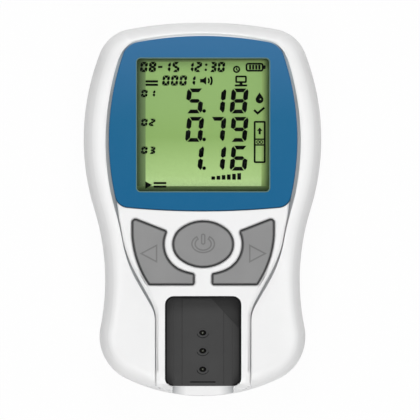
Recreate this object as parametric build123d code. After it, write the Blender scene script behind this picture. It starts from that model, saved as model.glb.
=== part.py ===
"""Handheld lipid meter: a white waisted case with a blue display panel, three keys and a test bay.

The meter lies on its back. +Z is its front, +Y its display end and +X its right hand side.
The origin is the middle of its back face. All sizes are in millimetres.
"""

from build123d import *
from math import atan2, cos, degrees, radians, sin
import os

# Overall form
LENGTH = 126.0
THICKNESS = 26.0
PARTING_Z = 12.6
REVEAL = 0.25
WALL = 2.0
FRONT_ROUND = 5.5
FRONT_STEPS = 3
BACK_ROUND = 4.0
BACK_STEPS = 2
TOP_Y = LENGTH / 2
BOTTOM_Y = -LENGTH / 2
BODY_REACH = 45.0

# Right half of each outline, from the top middle: (radius, turn in degrees, left positive)
BODY_ARCS = [(136.0, -10.6), (12.7, -57.9), (79.6, -38.9), (79.6, 28.9)]
BODY_LOW_CORNER = 15.7
OPENING_TOP_Y = 59.3
OPENING_ARCS = [(109.0, -12.1), (7.7, -59.1), (86.4, -35.3), (92.0, 6.6), (42.4, -20.3)]
OPENING_TAIL_ROUND = 10.0
OPENING_TAIL_X = 16.25
PANEL_TOP_Y = 58.8
PANEL_BOTTOM_Y = -0.64
PANEL_ARCS = [(117.0, -10.9), (6.3, -60.0), (88.8, -31.7)]
PANEL_LOW_CORNER = 4.6
FASCIA_ARCS = [(117.0, -10.9), (6.4, -60.0), (88.8, -30.7)]
FASCIA_STRAIGHT = 15.4
FASCIA_WAIST = (42.0, -18.6)
TAIL_END_Y = -70.0
SEAM_GAP = 0.5

# Levels of the front, from the back face
FASCIA_TOP = 25.8
FASCIA_UNDER = 23.4
FASCIA_SHOULDER = 1.0
SHOULDER_STEPS = 2
LEDGE_UNDER = 22.0
LEDGE_HOLE = [
    (25.0, 53.2),
    (25.0, 2.0),
    (25.6, 2.0),
    (25.6, -9.0),
    (22.4, -18.6),
    (15.0, -31.0),
    (14.8, -34.0),
    (14.8, -60.4),
]
LEDGE_SLOT_X = 29.4
HOLE_FOOT = 21.4

# Snap hooks
HOOK_THICK = 0.7
HOOK_TOOTH = 1.0
HOOK_WIDE = 5.0
HOOK_PLAY = 0.1
HOOK_SIDE_PLAY = 0.3
FASCIA_HOOKS = [(28.3, 37.5), (28.5, 11.0)]
FASCIA_HOOK_TIP = 21.0
BLOCK_HOOK = (19.5, -50.0)
BLOCK_HOOK_TIP = 19.2
END_HOOK = (12.0, 59.2)
END_HOOK_ROOT = 11.0
END_HOOK_CATCH = 15.4
END_HOOK_TIP = 16.6
POCKET_Y = 61.2

# Display
PANEL_UNDER = 24.8
PANEL_TOP = 26.0
PANEL_CLEARANCE = 0.12
WINDOW_X = 44.55
WINDOW_Y = 44.7
WINDOW_MID_Y = 28.43
WINDOW_ROUND = 1.2
WINDOW_BEVEL = 0.35
LENS_MARGIN = 1.6
LENS_UNDER = 24.0
GASKET_WIDE = 1.6
LCD_TOP = 21.6
LCD_GLASS = 1.1
LCD_X = 48.6
LCD_Y = 49.0
BACKLIGHT_THICK = 1.5
FRAME_TOP = 21.9
FRAME_WALL = 0.9

# Keys
KEY_TRAVEL = 0.6
KEY_TOP = 26.1
KEY_FOOT = 22.4
KEY_GAP = 0.45
KEY_EDGE = 0.3
POWER_MID_Y = -11.74
POWER_SEMI_X = 10.3
POWER_SEMI_Y = 7.9
POWER_END_R = 6.6
WEB_X = 2.8
WEB_Y = 2.2
WEB_END_R = 9.4
SIDE_KEY_OUTER_X = 24.08
SIDE_KEY_INNER_X = 2.9
SIDE_KEY_TOP_Y = -2.61
SIDE_KEY_TOP_SLOPE = 0.391
SIDE_KEY_FLANK_Y = -8.69
SIDE_KEY_FLANK_MID = (22.22, -17.83)
SIDE_KEY_FOOT_X = 18.3
SIDE_KEY_BOTTOM_Y = -25.54
SIDE_KEY_CORNER = 0.9
SIDE_KEY_TOP_CORNER = 1.3
SIDE_SWITCH = (16.5, -15.5)
SWITCH_SIDE = 6.0
SWITCH_HIGH = 3.5
PLUNGER_SIDE = 3.2
PLUNGER_PLAY = 0.08
PLUNGER_SUNK = 0.3
STEM_SIDE = 4.0
STEM_FOOT = 21.6
POWER_EARS = [((-10.9, -14.7), (-8.0, -8.7)), ((8.0, -14.7), (10.9, -8.7))]
SIDE_KEY_EARS = [((20.0, -9.0), (24.7, -5.0)), ((6.0, -26.15), (13.0, -23.0))]

# Test bay
BAY_HALF_X = 12.65
BAY_TOP_Y = -29.46
BAY_BOTTOM_Y = -59.6
BAY_ROUND = 2.7
MOUTH_HALF_X = 10.25
SILL_Z = 21.3
LAND_Z = 21.4
CHANNEL_Z = 21.1
RAIL_Z = 21.3
LAND_HALF_X = 6.9
RAIL_INNER_X = 10.0
BLOCK_HALF_X = 14.5
BLOCK_TOP_Y = -28.2
BLOCK_RIM = 1.2
BLOCK_UNDER = 16.6
APERTURE_YS = [-41.64, -47.7, -53.95]
APERTURE_R = 1.25
SLOT_Y = -58.25
SLOT_LONG = 8.5
SLOT_WIDE = 0.45
FLANGE_HALF_X = 18.6
FLANGE_YS = (-56.0, -44.0)
FLANGE_THICK = 1.8
STAKES = [(11.0, -32.5), (11.0, -56.0)]
STAKE_SIDE = 1.4
LENS_ROD_TOP = 20.2

# Circuit boards
BOARD_UNDER = 15.0
BOARD_TOP = 16.6
BOARD_HALF_X = 33.4
BOARD_TOP_Y = 53.2
BOARD_SHOULDER_Y = 42.0
BOARD_HEAD_X = 25.8
BOARD_NARROW_X = 28.0
BOARD_WAIST_Y = 10.0
BOARD_BOTTOM_Y = -26.8
BOARD_TAB_HALF_X = 8.0
BOARD_TAB_Y = 60.3
BOARD_RIBS = [(31.2, 22.0), (25.5, -21.0)]
RIB_THICK = 1.6
SENSOR_BOARD_TOP = 15.0
SENSOR_BOARD_THICK = 1.2
RIBBON_THICK = 0.2
RIBBON_HALF_X = 6.0
SOCKET_X = 7.7
SOCKET_Z = 3.9
SOCKET_LONG = 7.4
SOCKET_FRONT_Y = 61.6
BUZZER_AT = (12.0, -15.0)
BUZZER_R = 6.0
BUZZER_HIGH = 4.5
SOUND_SLOTS = 4
SOUND_SLOT_LONG = 7.0
SOUND_SLOT_WIDE = 0.8
SOUND_SLOT_PITCH = 2.0

# Power
CELL_R = 5.2
CELL_BODY = 43.3
CELL_NUB = 1.2
CELL_NUB_R = 1.9
CELL_PITCH = 10.85
CELL_COUNT = 2
CELL_MID_Y = 25.4
CELL_Z = 7.45
BAY_WALL = 2.0
CELL_BAY_HALF_X = 11.2
CELL_BAY_HALF_Y = 26.4
ROOF_UNDER = 12.8
CELL_RIB_HALF_X = 1.2
CELL_RIB_FOOT = 11.2
CONTACT_THICK = 0.4
CONTACT_HALF_HIGH = 3.0
CONTACT_PIP = 0.8
CONTACT_HALF_X = 2.9
LEAF_THICK = 0.3
DOOR_THICK = 1.8
DOOR_MARGIN = 1.4
DOOR_GAP = 0.25
DOOR_HOOK_XS = [-6.5, 6.5]
DOOR_HOOK_X = 4.0
HOOK_REACH = 2.2
HOOK_SLOT_TOP = 5.0
LATCH_WIDE = 11.0
LATCH_LONG = 9.0

# Fasteners
SCREW_R = 1.2
SCREW_HEAD_R = 2.3
SCREW_HEAD_HIGH = 1.6
PILOT_PLAY = 0.05
BOSS_SIDE = 6.4
CASE_SCREW = (25.0, -48.5)
CASE_SCREW_SEAT = 8.6
CASE_SCREW_TIP = 18.4
PILOT_END = 0.4


def unit(heading):
    """Direction of a heading in degrees from +X."""
    return (cos(radians(heading)), sin(radians(heading)))


def tangent_run(start, heading, arcs):
    """Arcs joined end to end with no corner, and the point and heading where they end."""
    edges = []
    for radius, turn in arcs:
        edge = JernArc(start, unit(heading), radius, turn)
        edges.append(edge)
        start = edge @ 1
        heading += turn
    return edges, start, heading


def close_to_bottom(start, heading, corner, bottom_y):
    """Corner arc and flat bottom arc that meet the middle line square at bottom_y."""
    side_x = start.X + corner * sin(radians(heading))
    side_y = start.Y - corner * cos(radians(heading))
    rise = side_y - bottom_y
    radius = (side_x**2 + rise**2 - corner**2) / (2 * (rise - corner))
    end_heading = degrees(atan2(rise - radius, side_x)) - 90
    edges, _, _ = tangent_run(
        start, heading, [(corner, end_heading - heading), (radius, -180 - end_heading)]
    )
    return edges


def tail_to_bottom(start, heading, corner, tail_x):
    """Straight flank, inward arc and straight tail that leaves the bottom end at tail_x."""
    arc_shift = corner * (-1 - sin(radians(heading)))
    length = (tail_x - start.X - arc_shift) / cos(radians(heading))
    flank = Line(start, start + Vector(*unit(heading)) * length)
    bend = JernArc(flank @ 1, unit(heading), corner, -90 - heading)
    tail = Line(bend @ 1, (tail_x, TAIL_END_Y))
    foot = Line(tail @ 1, (0, TAIL_END_Y))
    return [flank, bend, tail, foot]


def symmetric_face(edges):
    """Face inside a right half outline and its mirror image."""
    return make_face([*edges, *mirror(edges, about=Plane.YZ).edges()])


def slab(face, low, high):
    """Flat face raised from one level to another."""
    return Pos(0, 0, low) * extrude(face, high - low, dir=(0, 0, 1))


def box(low, high):
    """Box between two opposite corners."""
    size = [b - a for a, b in zip(low, high)]
    middle = [(a + b) / 2 for a, b in zip(low, high)]
    return Pos(*middle) * Box(*size)


def post(x, y, radius, low, high):
    """Upright cylinder."""
    return Pos(x, y, (low + high) / 2) * Cylinder(radius, high - low)


def upright(x, y, side, low, high):
    """Upright square bar."""
    return Pos(x, y, (low + high) / 2) * Box(side, side, high - low)


def both_sides(points):
    """Points and their mirror images across the middle."""
    return [(side * x, y) for x, y in points for side in (-1, 1)]


def top_edges(solid):
    """Edges round the highest face."""
    return solid.faces().sort_by(Axis.Z)[-1].edges()


def body_outline():
    """Waisted outline of the whole meter."""
    edges, end, heading = tangent_run(Vector(0, TOP_Y), 0, BODY_ARCS)
    return symmetric_face(edges + close_to_bottom(end, heading, BODY_LOW_CORNER, BOTTOM_Y))


def opening_outline():
    """Opening in the front cover that the fascia drops into, open at the bottom end."""
    edges, end, heading = tangent_run(Vector(0, OPENING_TOP_Y), 0, OPENING_ARCS)
    return symmetric_face(edges + tail_to_bottom(end, heading, OPENING_TAIL_ROUND, OPENING_TAIL_X))


def fascia_outline():
    """Outline of the fascia, which clears the opening by the seam gap."""
    edges, end, heading = tangent_run(Vector(0, PANEL_TOP_Y), 0, FASCIA_ARCS)
    flank = Line(end, end + Vector(*unit(heading)) * FASCIA_STRAIGHT)
    waist, end, heading = tangent_run(flank @ 1, heading, [FASCIA_WAIST])
    tail = tail_to_bottom(end, heading, OPENING_TAIL_ROUND + SEAM_GAP, OPENING_TAIL_X - SEAM_GAP)
    return symmetric_face([*edges, flank, *waist, *tail])


def panel_outline():
    """Outline of the blue display panel."""
    edges, end, heading = tangent_run(Vector(0, PANEL_TOP_Y), 0, PANEL_ARCS)
    return symmetric_face(edges + close_to_bottom(end, heading, PANEL_LOW_CORNER, PANEL_BOTTOM_Y))


def rounded_plate(half_x, low_y, high_y, corner):
    """Rounded rectangle centred on the middle line."""
    high = high_y - low_y
    return Pos(0, (low_y + high_y) / 2) * RectangleRounded(2 * half_x, high, corner)


def window_outline(margin=0.0):
    """Display window, with an even margin round it."""
    outline = RectangleRounded(WINDOW_X + 2 * margin, WINDOW_Y + 2 * margin, WINDOW_ROUND + margin)
    return Pos(0, WINDOW_MID_Y) * outline


def bay_outline():
    """Opening over the test bay."""
    return rounded_plate(BAY_HALF_X, BAY_BOTTOM_Y, BAY_TOP_Y, BAY_ROUND)


def oval(semi_x, semi_y, end_r, mid_y):
    """Oval of four tangent arcs, with end_r at its two ends."""
    reach = semi_x - end_r
    crown_r = (reach**2 + semi_y**2 - end_r**2) / (2 * (semi_y - end_r))
    turn = degrees(atan2(reach, crown_r - semi_y))
    arcs = [(crown_r, -turn), (end_r, 2 * turn - 180), (crown_r, -turn)]
    edges, _, _ = tangent_run(Vector(0, mid_y + semi_y), 0, arcs)
    return symmetric_face(edges)


def power_outline():
    """Oval hole of the middle key."""
    return oval(POWER_SEMI_X, POWER_SEMI_Y, POWER_END_R, POWER_MID_Y)


def side_outline():
    """Hole of the right key: a blade that curves round the oval middle key."""
    inner_top_y = SIDE_KEY_TOP_Y - SIDE_KEY_TOP_SLOPE * (SIDE_KEY_OUTER_X - SIDE_KEY_INNER_X)
    outer_top = (SIDE_KEY_OUTER_X, SIDE_KEY_TOP_Y)
    inner_top = (SIDE_KEY_INNER_X, inner_top_y)
    inner_foot = (SIDE_KEY_INNER_X, SIDE_KEY_BOTTOM_Y)
    outer_foot = (SIDE_KEY_FOOT_X, SIDE_KEY_BOTTOM_Y)
    flank_top = (SIDE_KEY_OUTER_X, SIDE_KEY_FLANK_Y)
    blade = make_face(
        [
            Line(flank_top, outer_top),
            Line(outer_top, inner_top),
            Line(inner_top, inner_foot),
            Line(inner_foot, outer_foot),
            ThreePointArc(outer_foot, SIDE_KEY_FLANK_MID, flank_top),
        ]
    )
    blade -= oval(POWER_SEMI_X + WEB_X, POWER_SEMI_Y + WEB_Y, WEB_END_R, POWER_MID_Y)
    corner = blade.vertices().sort_by(Axis.Y)[-1]
    blade = fillet(corner, SIDE_KEY_TOP_CORNER)
    sharp = [v for v in blade.vertices() if v.Y < SIDE_KEY_TOP_Y - 4 and v.X < SIDE_KEY_OUTER_X - 1]
    return fillet(sharp, SIDE_KEY_CORNER)


def key_outlines():
    """Hole outline of each key by name."""
    right = side_outline()
    return {"left_key": mirror(right, about=Plane.YZ), "power_key": power_outline(), "right_key": right}


def rolled(outline, foot, crown, radius, steps):
    """Outline raised between two levels, with its top edge rolled in along a quarter circle."""
    sections = [Pos(0, 0, crown - radius) * outline]
    for i in range(1, steps + 1):
        turn = radians(90 * i / steps)
        level = crown - radius * (1 - sin(turn))
        sections.append(Pos(0, 0, level) * offset(outline, -radius * (1 - cos(turn))))
    return slab(outline, foot, crown - radius) + loft(sections, ruled=True)


def key_ears():
    """Plan corners of the ears of each key by name."""
    left = [((-high[0], low[1]), (-low[0], high[1])) for low, high in SIDE_KEY_EARS]
    return {"left_key": left, "power_key": POWER_EARS, "right_key": SIDE_KEY_EARS}


def upper_form(crown):
    """Upper half of the body with its rolled front edge."""
    return rolled(body_outline(), PARTING_Z, crown, FRONT_ROUND, FRONT_STEPS)


def lower_form():
    """Lower half of the body, set in all round to show the parting line, with a rolled back edge."""
    outline = offset(body_outline(), -REVEAL)
    form = mirror(rolled(outline, 0, PARTING_Z, BACK_ROUND, BACK_STEPS), about=Plane.XY)
    return Pos(0, 0, PARTING_Z) * form


def ledge_hole():
    """Opening inside the ledge, with side slots that the fascia's hooks drop through."""
    left = [(-x, y) for x, y in reversed(LEDGE_HOLE)]
    hole = make_face(Polyline(*LEDGE_HOLE, *left, close=True))
    for _, y in FASCIA_HOOKS:
        hole += Pos(0, y) * Rectangle(2 * LEDGE_SLOT_X, HOOK_WIDE + 2 * HOOK_SIDE_PLAY)
    return hole


def snap_hook(catch, drop):
    """Springy leg that hangs from the origin, with its tooth towards +X and flat on top."""
    profile = Polyline(
        (0, 0),
        (0, -drop),
        (HOOK_THICK, -drop),
        (HOOK_THICK + HOOK_TOOTH, -catch - HOOK_PLAY),
        (HOOK_THICK + HOOK_TOOTH, -catch),
        (HOOK_THICK, -catch),
        (HOOK_THICK, 0),
        close=True,
    )
    return extrude(make_face(Plane.XZ * profile), HOOK_WIDE / 2, both=True)


def board_ribs(low, high, inset):
    """Ribs by the side walls that hold the main board between the two covers."""
    ribs = Part()
    for x, y in both_sides(BOARD_RIBS):
        wall_x = BODY_REACH if x > 0 else -BODY_REACH
        rib_low = (min(x, wall_x), y - RIB_THICK / 2, low)
        ribs += box(rib_low, (max(x, wall_x), y + RIB_THICK / 2, high))
    return ribs & slab(offset(body_outline(), -inset), low, high)


def front_cover():
    """Upper shell with rolled edge, sunk ledge for the fascia, posts, hooks and entry sill."""
    form = upper_form(THICKNESS)
    root = LEDGE_UNDER + 0.2
    shell = form - slab(offset(body_outline(), -WALL), PARTING_Z, LEDGE_UNDER)
    shell += board_ribs(BOARD_TOP, root, WALL / 2)
    for x, y in both_sides([CASE_SCREW]):
        shell += upright(x, y, BOSS_SIDE, PARTING_Z, root)
        shell -= post(x, y, SCREW_R + PILOT_PLAY, PARTING_Z, CASE_SCREW_TIP + PILOT_END)
    for x, y in both_sides([BLOCK_HOOK]):
        catch = root - LEDGE_UNDER + FLANGE_THICK + HOOK_PLAY
        turn = 180 if x > 0 else 0
        shell += Pos(x, y, root) * Rot(0, 0, turn) * snap_hook(catch, root - BLOCK_HOOK_TIP)
    shell -= slab(opening_outline(), FASCIA_UNDER, THICKNESS + 1)
    shell -= slab(ledge_hole(), HOLE_FOOT, FASCIA_UNDER + 1)
    sill_low = (-MOUTH_HALF_X - 1, BOTTOM_Y, BLOCK_UNDER)
    shell += box(sill_low, (MOUTH_HALF_X + 1, BAY_BOTTOM_Y, SILL_Z)) & form
    mouth_low = (-MOUTH_HALF_X, TAIL_END_Y, SILL_Z)
    shell -= box(mouth_low, (MOUTH_HALF_X, BAY_BOTTOM_Y + 1, THICKNESS))
    for x, y in both_sides([END_HOOK]):
        half = HOOK_WIDE / 2 + HOOK_SIDE_PLAY
        pocket_low = (x - half, y, END_HOOK_CATCH - HOOK_PLAY)
        shell -= box(pocket_low, (x + half, POCKET_Y, END_HOOK_TIP + HOOK_SIDE_PLAY))
    socket_low = (-SOCKET_X / 2 - 0.8, TOP_Y - 4, BOARD_TOP - 0.1)
    return shell - box(socket_low, (SOCKET_X / 2 + 0.8, TOP_Y + 1, BOARD_TOP + SOCKET_Z + 0.6))


def rear_cover():
    """Lower shell with the cell compartment, screw wells, end hooks, sound and door slots."""
    shell = lower_form() - slab(offset(body_outline(), -WALL), WALL, PARTING_Z)
    outer_x = CELL_BAY_HALF_X + BAY_WALL
    low_y = CELL_MID_Y - CELL_BAY_HALF_Y
    high_y = CELL_MID_Y + CELL_BAY_HALF_Y
    shell += box((-outer_x, low_y - BAY_WALL, WALL / 2), (outer_x, high_y + BAY_WALL, BOARD_UNDER))
    shell -= box((-CELL_BAY_HALF_X, low_y, -1), (CELL_BAY_HALF_X, high_y, ROOF_UNDER))
    rib_low = (-CELL_RIB_HALF_X, low_y - 1, CELL_RIB_FOOT)
    shell += box(rib_low, (CELL_RIB_HALF_X, high_y + 1, ROOF_UNDER + 1))
    shell += board_ribs(WALL / 2, BOARD_UNDER, WALL + 0.1)
    shell -= slab(door_outline(DOOR_GAP), -1, DOOR_THICK + 0.1)
    for x, y in both_sides([CASE_SCREW]):
        shell += upright(x, y, BOSS_SIDE, WALL / 2, PARTING_Z)
        shell -= post(x, y, SCREW_HEAD_R + 0.2, -1, CASE_SCREW_SEAT)
        shell -= post(x, y, SCREW_R + 0.15, 0, PARTING_Z)
    for x, y in both_sides([END_HOOK]):
        root_low = (x - HOOK_WIDE / 2, y - 1, END_HOOK_ROOT - 3)
        shell += box(root_low, (x + HOOK_WIDE / 2, TOP_Y - 1.8, END_HOOK_ROOT + 0.5))
        hook = snap_hook(END_HOOK_CATCH - END_HOOK_ROOT, END_HOOK_TIP - END_HOOK_ROOT)
        shell += Pos(x, y, END_HOOK_ROOT) * Rot(0, 0, 90) * Rot(180, 0, 0) * hook
    for x in DOOR_HOOK_XS:
        half = DOOR_HOOK_X / 2 + HOOK_SIDE_PLAY
        slot_low = (x - half, low_y - BAY_WALL - 1, DOOR_THICK + 0.1)
        shell -= box(slot_low, (x + half, low_y + 1, HOOK_SLOT_TOP))
    return shell - sound_slots()


def sound_slots():
    """Short slots through the back, under the buzzer."""
    x, y = BUZZER_AT
    slots = Part()
    for i in range(SOUND_SLOTS):
        mid_y = y + (i - (SOUND_SLOTS - 1) / 2) * SOUND_SLOT_PITCH
        slots += Pos(x, mid_y, WALL / 2) * Box(SOUND_SLOT_LONG, SOUND_SLOT_WIDE, 2 * WALL)
    return slots


def centre_fascia():
    """White inset plate with a soft shoulder, display well, key holes and bay cut-out."""
    plate = rolled(fascia_outline(), FASCIA_UNDER, FASCIA_TOP, FASCIA_SHOULDER, SHOULDER_STEPS)
    plate &= upper_form(FASCIA_TOP)
    plate -= slab(offset(panel_outline(), PANEL_CLEARANCE), PANEL_UNDER, THICKNESS)
    rim_y = PANEL_BOTTOM_Y + PANEL_LOW_CORNER + 0.2
    plate -= box((-BODY_REACH, rim_y, PANEL_UNDER), (BODY_REACH, TOP_Y, THICKNESS))
    plate -= slab(display_plan(LENS_MARGIN + 0.1), LENS_UNDER, PANEL_UNDER)
    plate -= slab(display_plan(0.2), FASCIA_UNDER - 1, LENS_UNDER)
    for outline in key_outlines().values():
        plate -= slab(outline, FASCIA_UNDER - 1, THICKNESS)
    plate -= slab(bay_outline(), FASCIA_UNDER - 1, THICKNESS)
    mouth_low = (-MOUTH_HALF_X, TAIL_END_Y, FASCIA_UNDER - 1)
    plate -= box(mouth_low, (MOUTH_HALF_X, BAY_BOTTOM_Y + 1, THICKNESS))
    root = FASCIA_UNDER + 0.4
    for x, y in both_sides(FASCIA_HOOKS):
        hook = snap_hook(root - LEDGE_UNDER + HOOK_PLAY, root - FASCIA_HOOK_TIP)
        plate += Pos(x, y, root) * Rot(0, 0, 0 if x > 0 else 180) * hook
    return plate


def face_panel():
    """Blue panel with a bevelled display window."""
    plan = panel_outline() - window_outline()
    panel = slab(plan, PANEL_UNDER, PANEL_TOP)
    bevel = extrude(Pos(0, 0, PANEL_TOP) * window_outline(WINDOW_BEVEL), -WINDOW_BEVEL, taper=45)
    return panel - bevel


def display_plan(margin):
    """Rectangle round the window, with an even margin."""
    return Pos(0, WINDOW_MID_Y) * Rectangle(WINDOW_X + 2 * margin, WINDOW_Y + 2 * margin)


def window_lens():
    """Clear window behind the panel."""
    return slab(display_plan(LENS_MARGIN), LENS_UNDER, PANEL_UNDER)


def window_gasket():
    """Foam ring that keeps dust off the display."""
    ring = display_plan(GASKET_WIDE + 0.4) - display_plan(0.4)
    return slab(ring, FRAME_TOP, FASCIA_UNDER)


def lcd_plan(half_x, half_y):
    """Rectangle about the middle of the display."""
    return Pos(0, WINDOW_MID_Y) * Rectangle(2 * half_x, 2 * half_y)


def lcd_panel():
    """Two bonded glass plates, the upper one short of the contact ledges."""
    lower = slab(lcd_plan(LCD_X / 2, LCD_Y / 2), LCD_TOP - 2 * LCD_GLASS, LCD_TOP - LCD_GLASS)
    upper = slab(lcd_plan(LCD_X / 2, LCD_Y / 2 - 1.2), LCD_TOP - LCD_GLASS, LCD_TOP)
    return lower + upper


def lcd_backlight():
    """Light guide behind the display."""
    top = LCD_TOP - 2 * LCD_GLASS
    return slab(lcd_plan(LCD_X / 2 - 0.4, LCD_Y / 2 - 2.6), top - BACKLIGHT_THICK, top)


def lcd_frame():
    """Frame that holds the display stack down on the main board."""
    inner = lcd_plan(LCD_X / 2 + 0.1, LCD_Y / 2 + 0.1)
    outer = lcd_plan(LCD_X / 2 + FRAME_WALL, LCD_Y / 2 + FRAME_WALL)
    frame = slab(outer - inner, BOARD_TOP, FRAME_TOP)
    lip = outer - lcd_plan(LCD_X / 2 - 0.8, LCD_Y / 2 - 0.8)
    return frame + slab(lip, LCD_TOP, FRAME_TOP)


def zebra_strips():
    """Rubber contact strips under the two ledges of the display glass."""
    strips = []
    for side in (-1, 1):
        y = WINDOW_MID_Y + side * (LCD_Y / 2 - 1.3)
        high = LCD_TOP - 2 * LCD_GLASS
        strips.append(box((-LCD_X / 2 + 1, y - 1.0, BOARD_TOP), (LCD_X / 2 - 1, y + 1.0, high)))
    return strips


def main_board():
    """Main circuit board, with shoulders at both ends and a tab for the data socket."""
    board = Part()
    for half_x, low_y, high_y in (
        (BOARD_HALF_X, BOARD_WAIST_Y, BOARD_SHOULDER_Y),
        (BOARD_NARROW_X, BOARD_BOTTOM_Y, BOARD_WAIST_Y),
        (BOARD_HEAD_X, BOARD_SHOULDER_Y, BOARD_TOP_Y),
        (BOARD_TAB_HALF_X, BOARD_TOP_Y, BOARD_TAB_Y),
    ):
        board += box((-half_x, low_y, BOARD_UNDER), (half_x, high_y, BOARD_TOP))
    return board


def board_chips():
    """Flat chips and the clock crystal on the display side of the board."""
    processor = Pos(-8, 30, BOARD_TOP + 0.5) * Box(12, 12, 1.0)
    memory = Pos(10, 34, BOARD_TOP + 0.45) * Box(5, 4, 0.9)
    driver = Pos(10, 20, BOARD_TOP + 0.5) * Box(8, 8, 1.0)
    crystal = Pos(-8, 17, BOARD_TOP + 0.55) * Box(6.5, 2.5, 1.1)
    return [processor, memory, driver, crystal]


def data_socket():
    """Data socket in the top end wall: a metal shell round a plastic tongue."""
    mid_y = SOCKET_FRONT_Y - SOCKET_LONG / 2
    shell = Pos(0, mid_y, BOARD_TOP + SOCKET_Z / 2) * Box(SOCKET_X, SOCKET_LONG, SOCKET_Z)
    room = Box(SOCKET_X - 0.8, SOCKET_LONG, SOCKET_Z - 0.8)
    shell -= Pos(0, mid_y + 1.2, BOARD_TOP + SOCKET_Z / 2) * room
    tongue = Box(SOCKET_X - 3.2, SOCKET_LONG - 2, 0.9)
    return shell + Pos(0, mid_y - 0.6, BOARD_TOP + SOCKET_Z / 2) * tongue


def buzzer():
    """Round sounder under the board, over the sound slots."""
    x, y = BUZZER_AT
    return post(x, y, BUZZER_R, BOARD_UNDER - BUZZER_HIGH, BOARD_UNDER)


def switch_points():
    """Place of the switch under each key."""
    x, y = SIDE_SWITCH
    return {"left_key": (-x, y), "power_key": (0, POWER_MID_Y), "right_key": (x, y)}


def key_switches():
    """Push switch bodies, each with the well that its plunger slides in."""
    bodies = []
    for x, y in switch_points().values():
        top = BOARD_TOP + SWITCH_HIGH
        foot = top - PLUNGER_SUNK - KEY_TRAVEL - 0.3
        body = upright(x, y, SWITCH_SIDE, BOARD_TOP, top)
        bodies.append(body - upright(x, y, PLUNGER_SIDE + 2 * PLUNGER_PLAY, foot, top + 1))
    return bodies


def key_plunger(x, y):
    """Plunger of one push switch, which its key presses down."""
    return upright(x, y, PLUNGER_SIDE, BOARD_TOP + SWITCH_HIGH - PLUNGER_SUNK, STEM_FOOT)


def key_cap(hole, ears, x, y):
    """Key with a bevelled top edge, ears that catch under the fascia and a stem on the plunger."""
    cap = chamfer(top_edges(slab(offset(hole, -KEY_GAP), KEY_FOOT, KEY_TOP)), KEY_EDGE)
    for low, high in ears:
        cap += box((*low, KEY_FOOT), (*high, FASCIA_UNDER))
    return cap + upright(x, y, STEM_SIDE, STEM_FOOT, KEY_FOOT + 1)


def optical_block():
    """Dark test bay block: rim, stepped lands, three apertures, slot, flanges and stakes."""
    end_y = BAY_BOTTOM_Y + 0.05
    cut = BAY_ROUND
    right = [(BLOCK_HALF_X - cut, end_y), (BLOCK_HALF_X, end_y + cut), (BLOCK_HALF_X, BLOCK_TOP_Y)]
    left = [(-x, y) for x, y in reversed(right)]
    body = slab(make_face(Polyline(*right, *left, close=True)), BLOCK_UNDER, FASCIA_UNDER - 0.05)
    well_x = BLOCK_HALF_X - BLOCK_RIM
    well_y = BLOCK_TOP_Y - BLOCK_RIM
    body -= slab(rounded_plate(well_x, end_y - 5, well_y, BAY_ROUND), CHANNEL_Z, THICKNESS)
    body += box((-LAND_HALF_X, end_y, CHANNEL_Z - 0.5), (LAND_HALF_X, well_y - 0.6, LAND_Z))
    for side in (-1, 1):
        xs = sorted([side * RAIL_INNER_X, side * (well_x - 0.5)])
        body += box((xs[0], end_y + 0.6, CHANNEL_Z - 0.5), (xs[1], well_y - 0.6, RAIL_Z))
        xs = sorted([side * (BLOCK_HALF_X - 1), side * FLANGE_HALF_X])
        flange_low = (xs[0], FLANGE_YS[0], LEDGE_UNDER - FLANGE_THICK)
        body += box(flange_low, (xs[1], FLANGE_YS[1], LEDGE_UNDER))
    for y in APERTURE_YS:
        body -= post(0, y, APERTURE_R, BLOCK_UNDER - 1, THICKNESS)
    slot_low = (-SLOT_LONG / 2, SLOT_Y - SLOT_WIDE / 2, LAND_Z - 1)
    body -= box(slot_low, (SLOT_LONG / 2, SLOT_Y + SLOT_WIDE / 2, THICKNESS))
    for x, y in both_sides(STAKES):
        body += upright(x, y, 2 * STAKE_SIDE, SENSOR_BOARD_TOP, BLOCK_UNDER + 0.5)
        pin_foot = SENSOR_BOARD_TOP - SENSOR_BOARD_THICK - 0.4
        body += upright(x, y, STAKE_SIDE, pin_foot, BLOCK_UNDER)
    return body


def aperture_lenses():
    """Clear rods that light the test strip."""
    return [post(0, y, APERTURE_R - 0.03, BLOCK_UNDER, LENS_ROD_TOP) for y in APERTURE_YS]


def sensor_board():
    """Small board staked under the optical block."""
    half_x = BLOCK_HALF_X - 0.5
    board = box(
        (-half_x, BAY_BOTTOM_Y + 0.6, SENSOR_BOARD_TOP - SENSOR_BOARD_THICK),
        (half_x, BLOCK_TOP_Y - 0.6, SENSOR_BOARD_TOP),
    )
    for x, y in both_sides(STAKES):
        board -= upright(x, y, STAKE_SIDE, 0, THICKNESS)
    return board


def light_sensors():
    """Light source and receiver packages under the three lenses."""
    mid_z = (SENSOR_BOARD_TOP + BLOCK_UNDER) / 2
    return [Pos(0, y, mid_z) * Box(4.2, 3.6, BLOCK_UNDER - SENSOR_BOARD_TOP) for y in APERTURE_YS]


def sensor_ribbon():
    """Flat cable that joins the sensor board to the main board."""
    half = RIBBON_THICK / 2
    path = Polyline(
        (BOARD_BOTTOM_Y + 3, BOARD_UNDER - half),
        (BOARD_BOTTOM_Y - 0.2, BOARD_UNDER - half),
        (BLOCK_TOP_Y - 0.4, SENSOR_BOARD_TOP + half),
        (BLOCK_TOP_Y - 4, SENSOR_BOARD_TOP + half),
    )
    return extrude(Plane.YZ * trace(path, RIBBON_THICK), RIBBON_HALF_X, both=True)


def cell_xs():
    """Middle line of each cell."""
    return [(i - (CELL_COUNT - 1) / 2) * CELL_PITCH for i in range(CELL_COUNT)]


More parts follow.
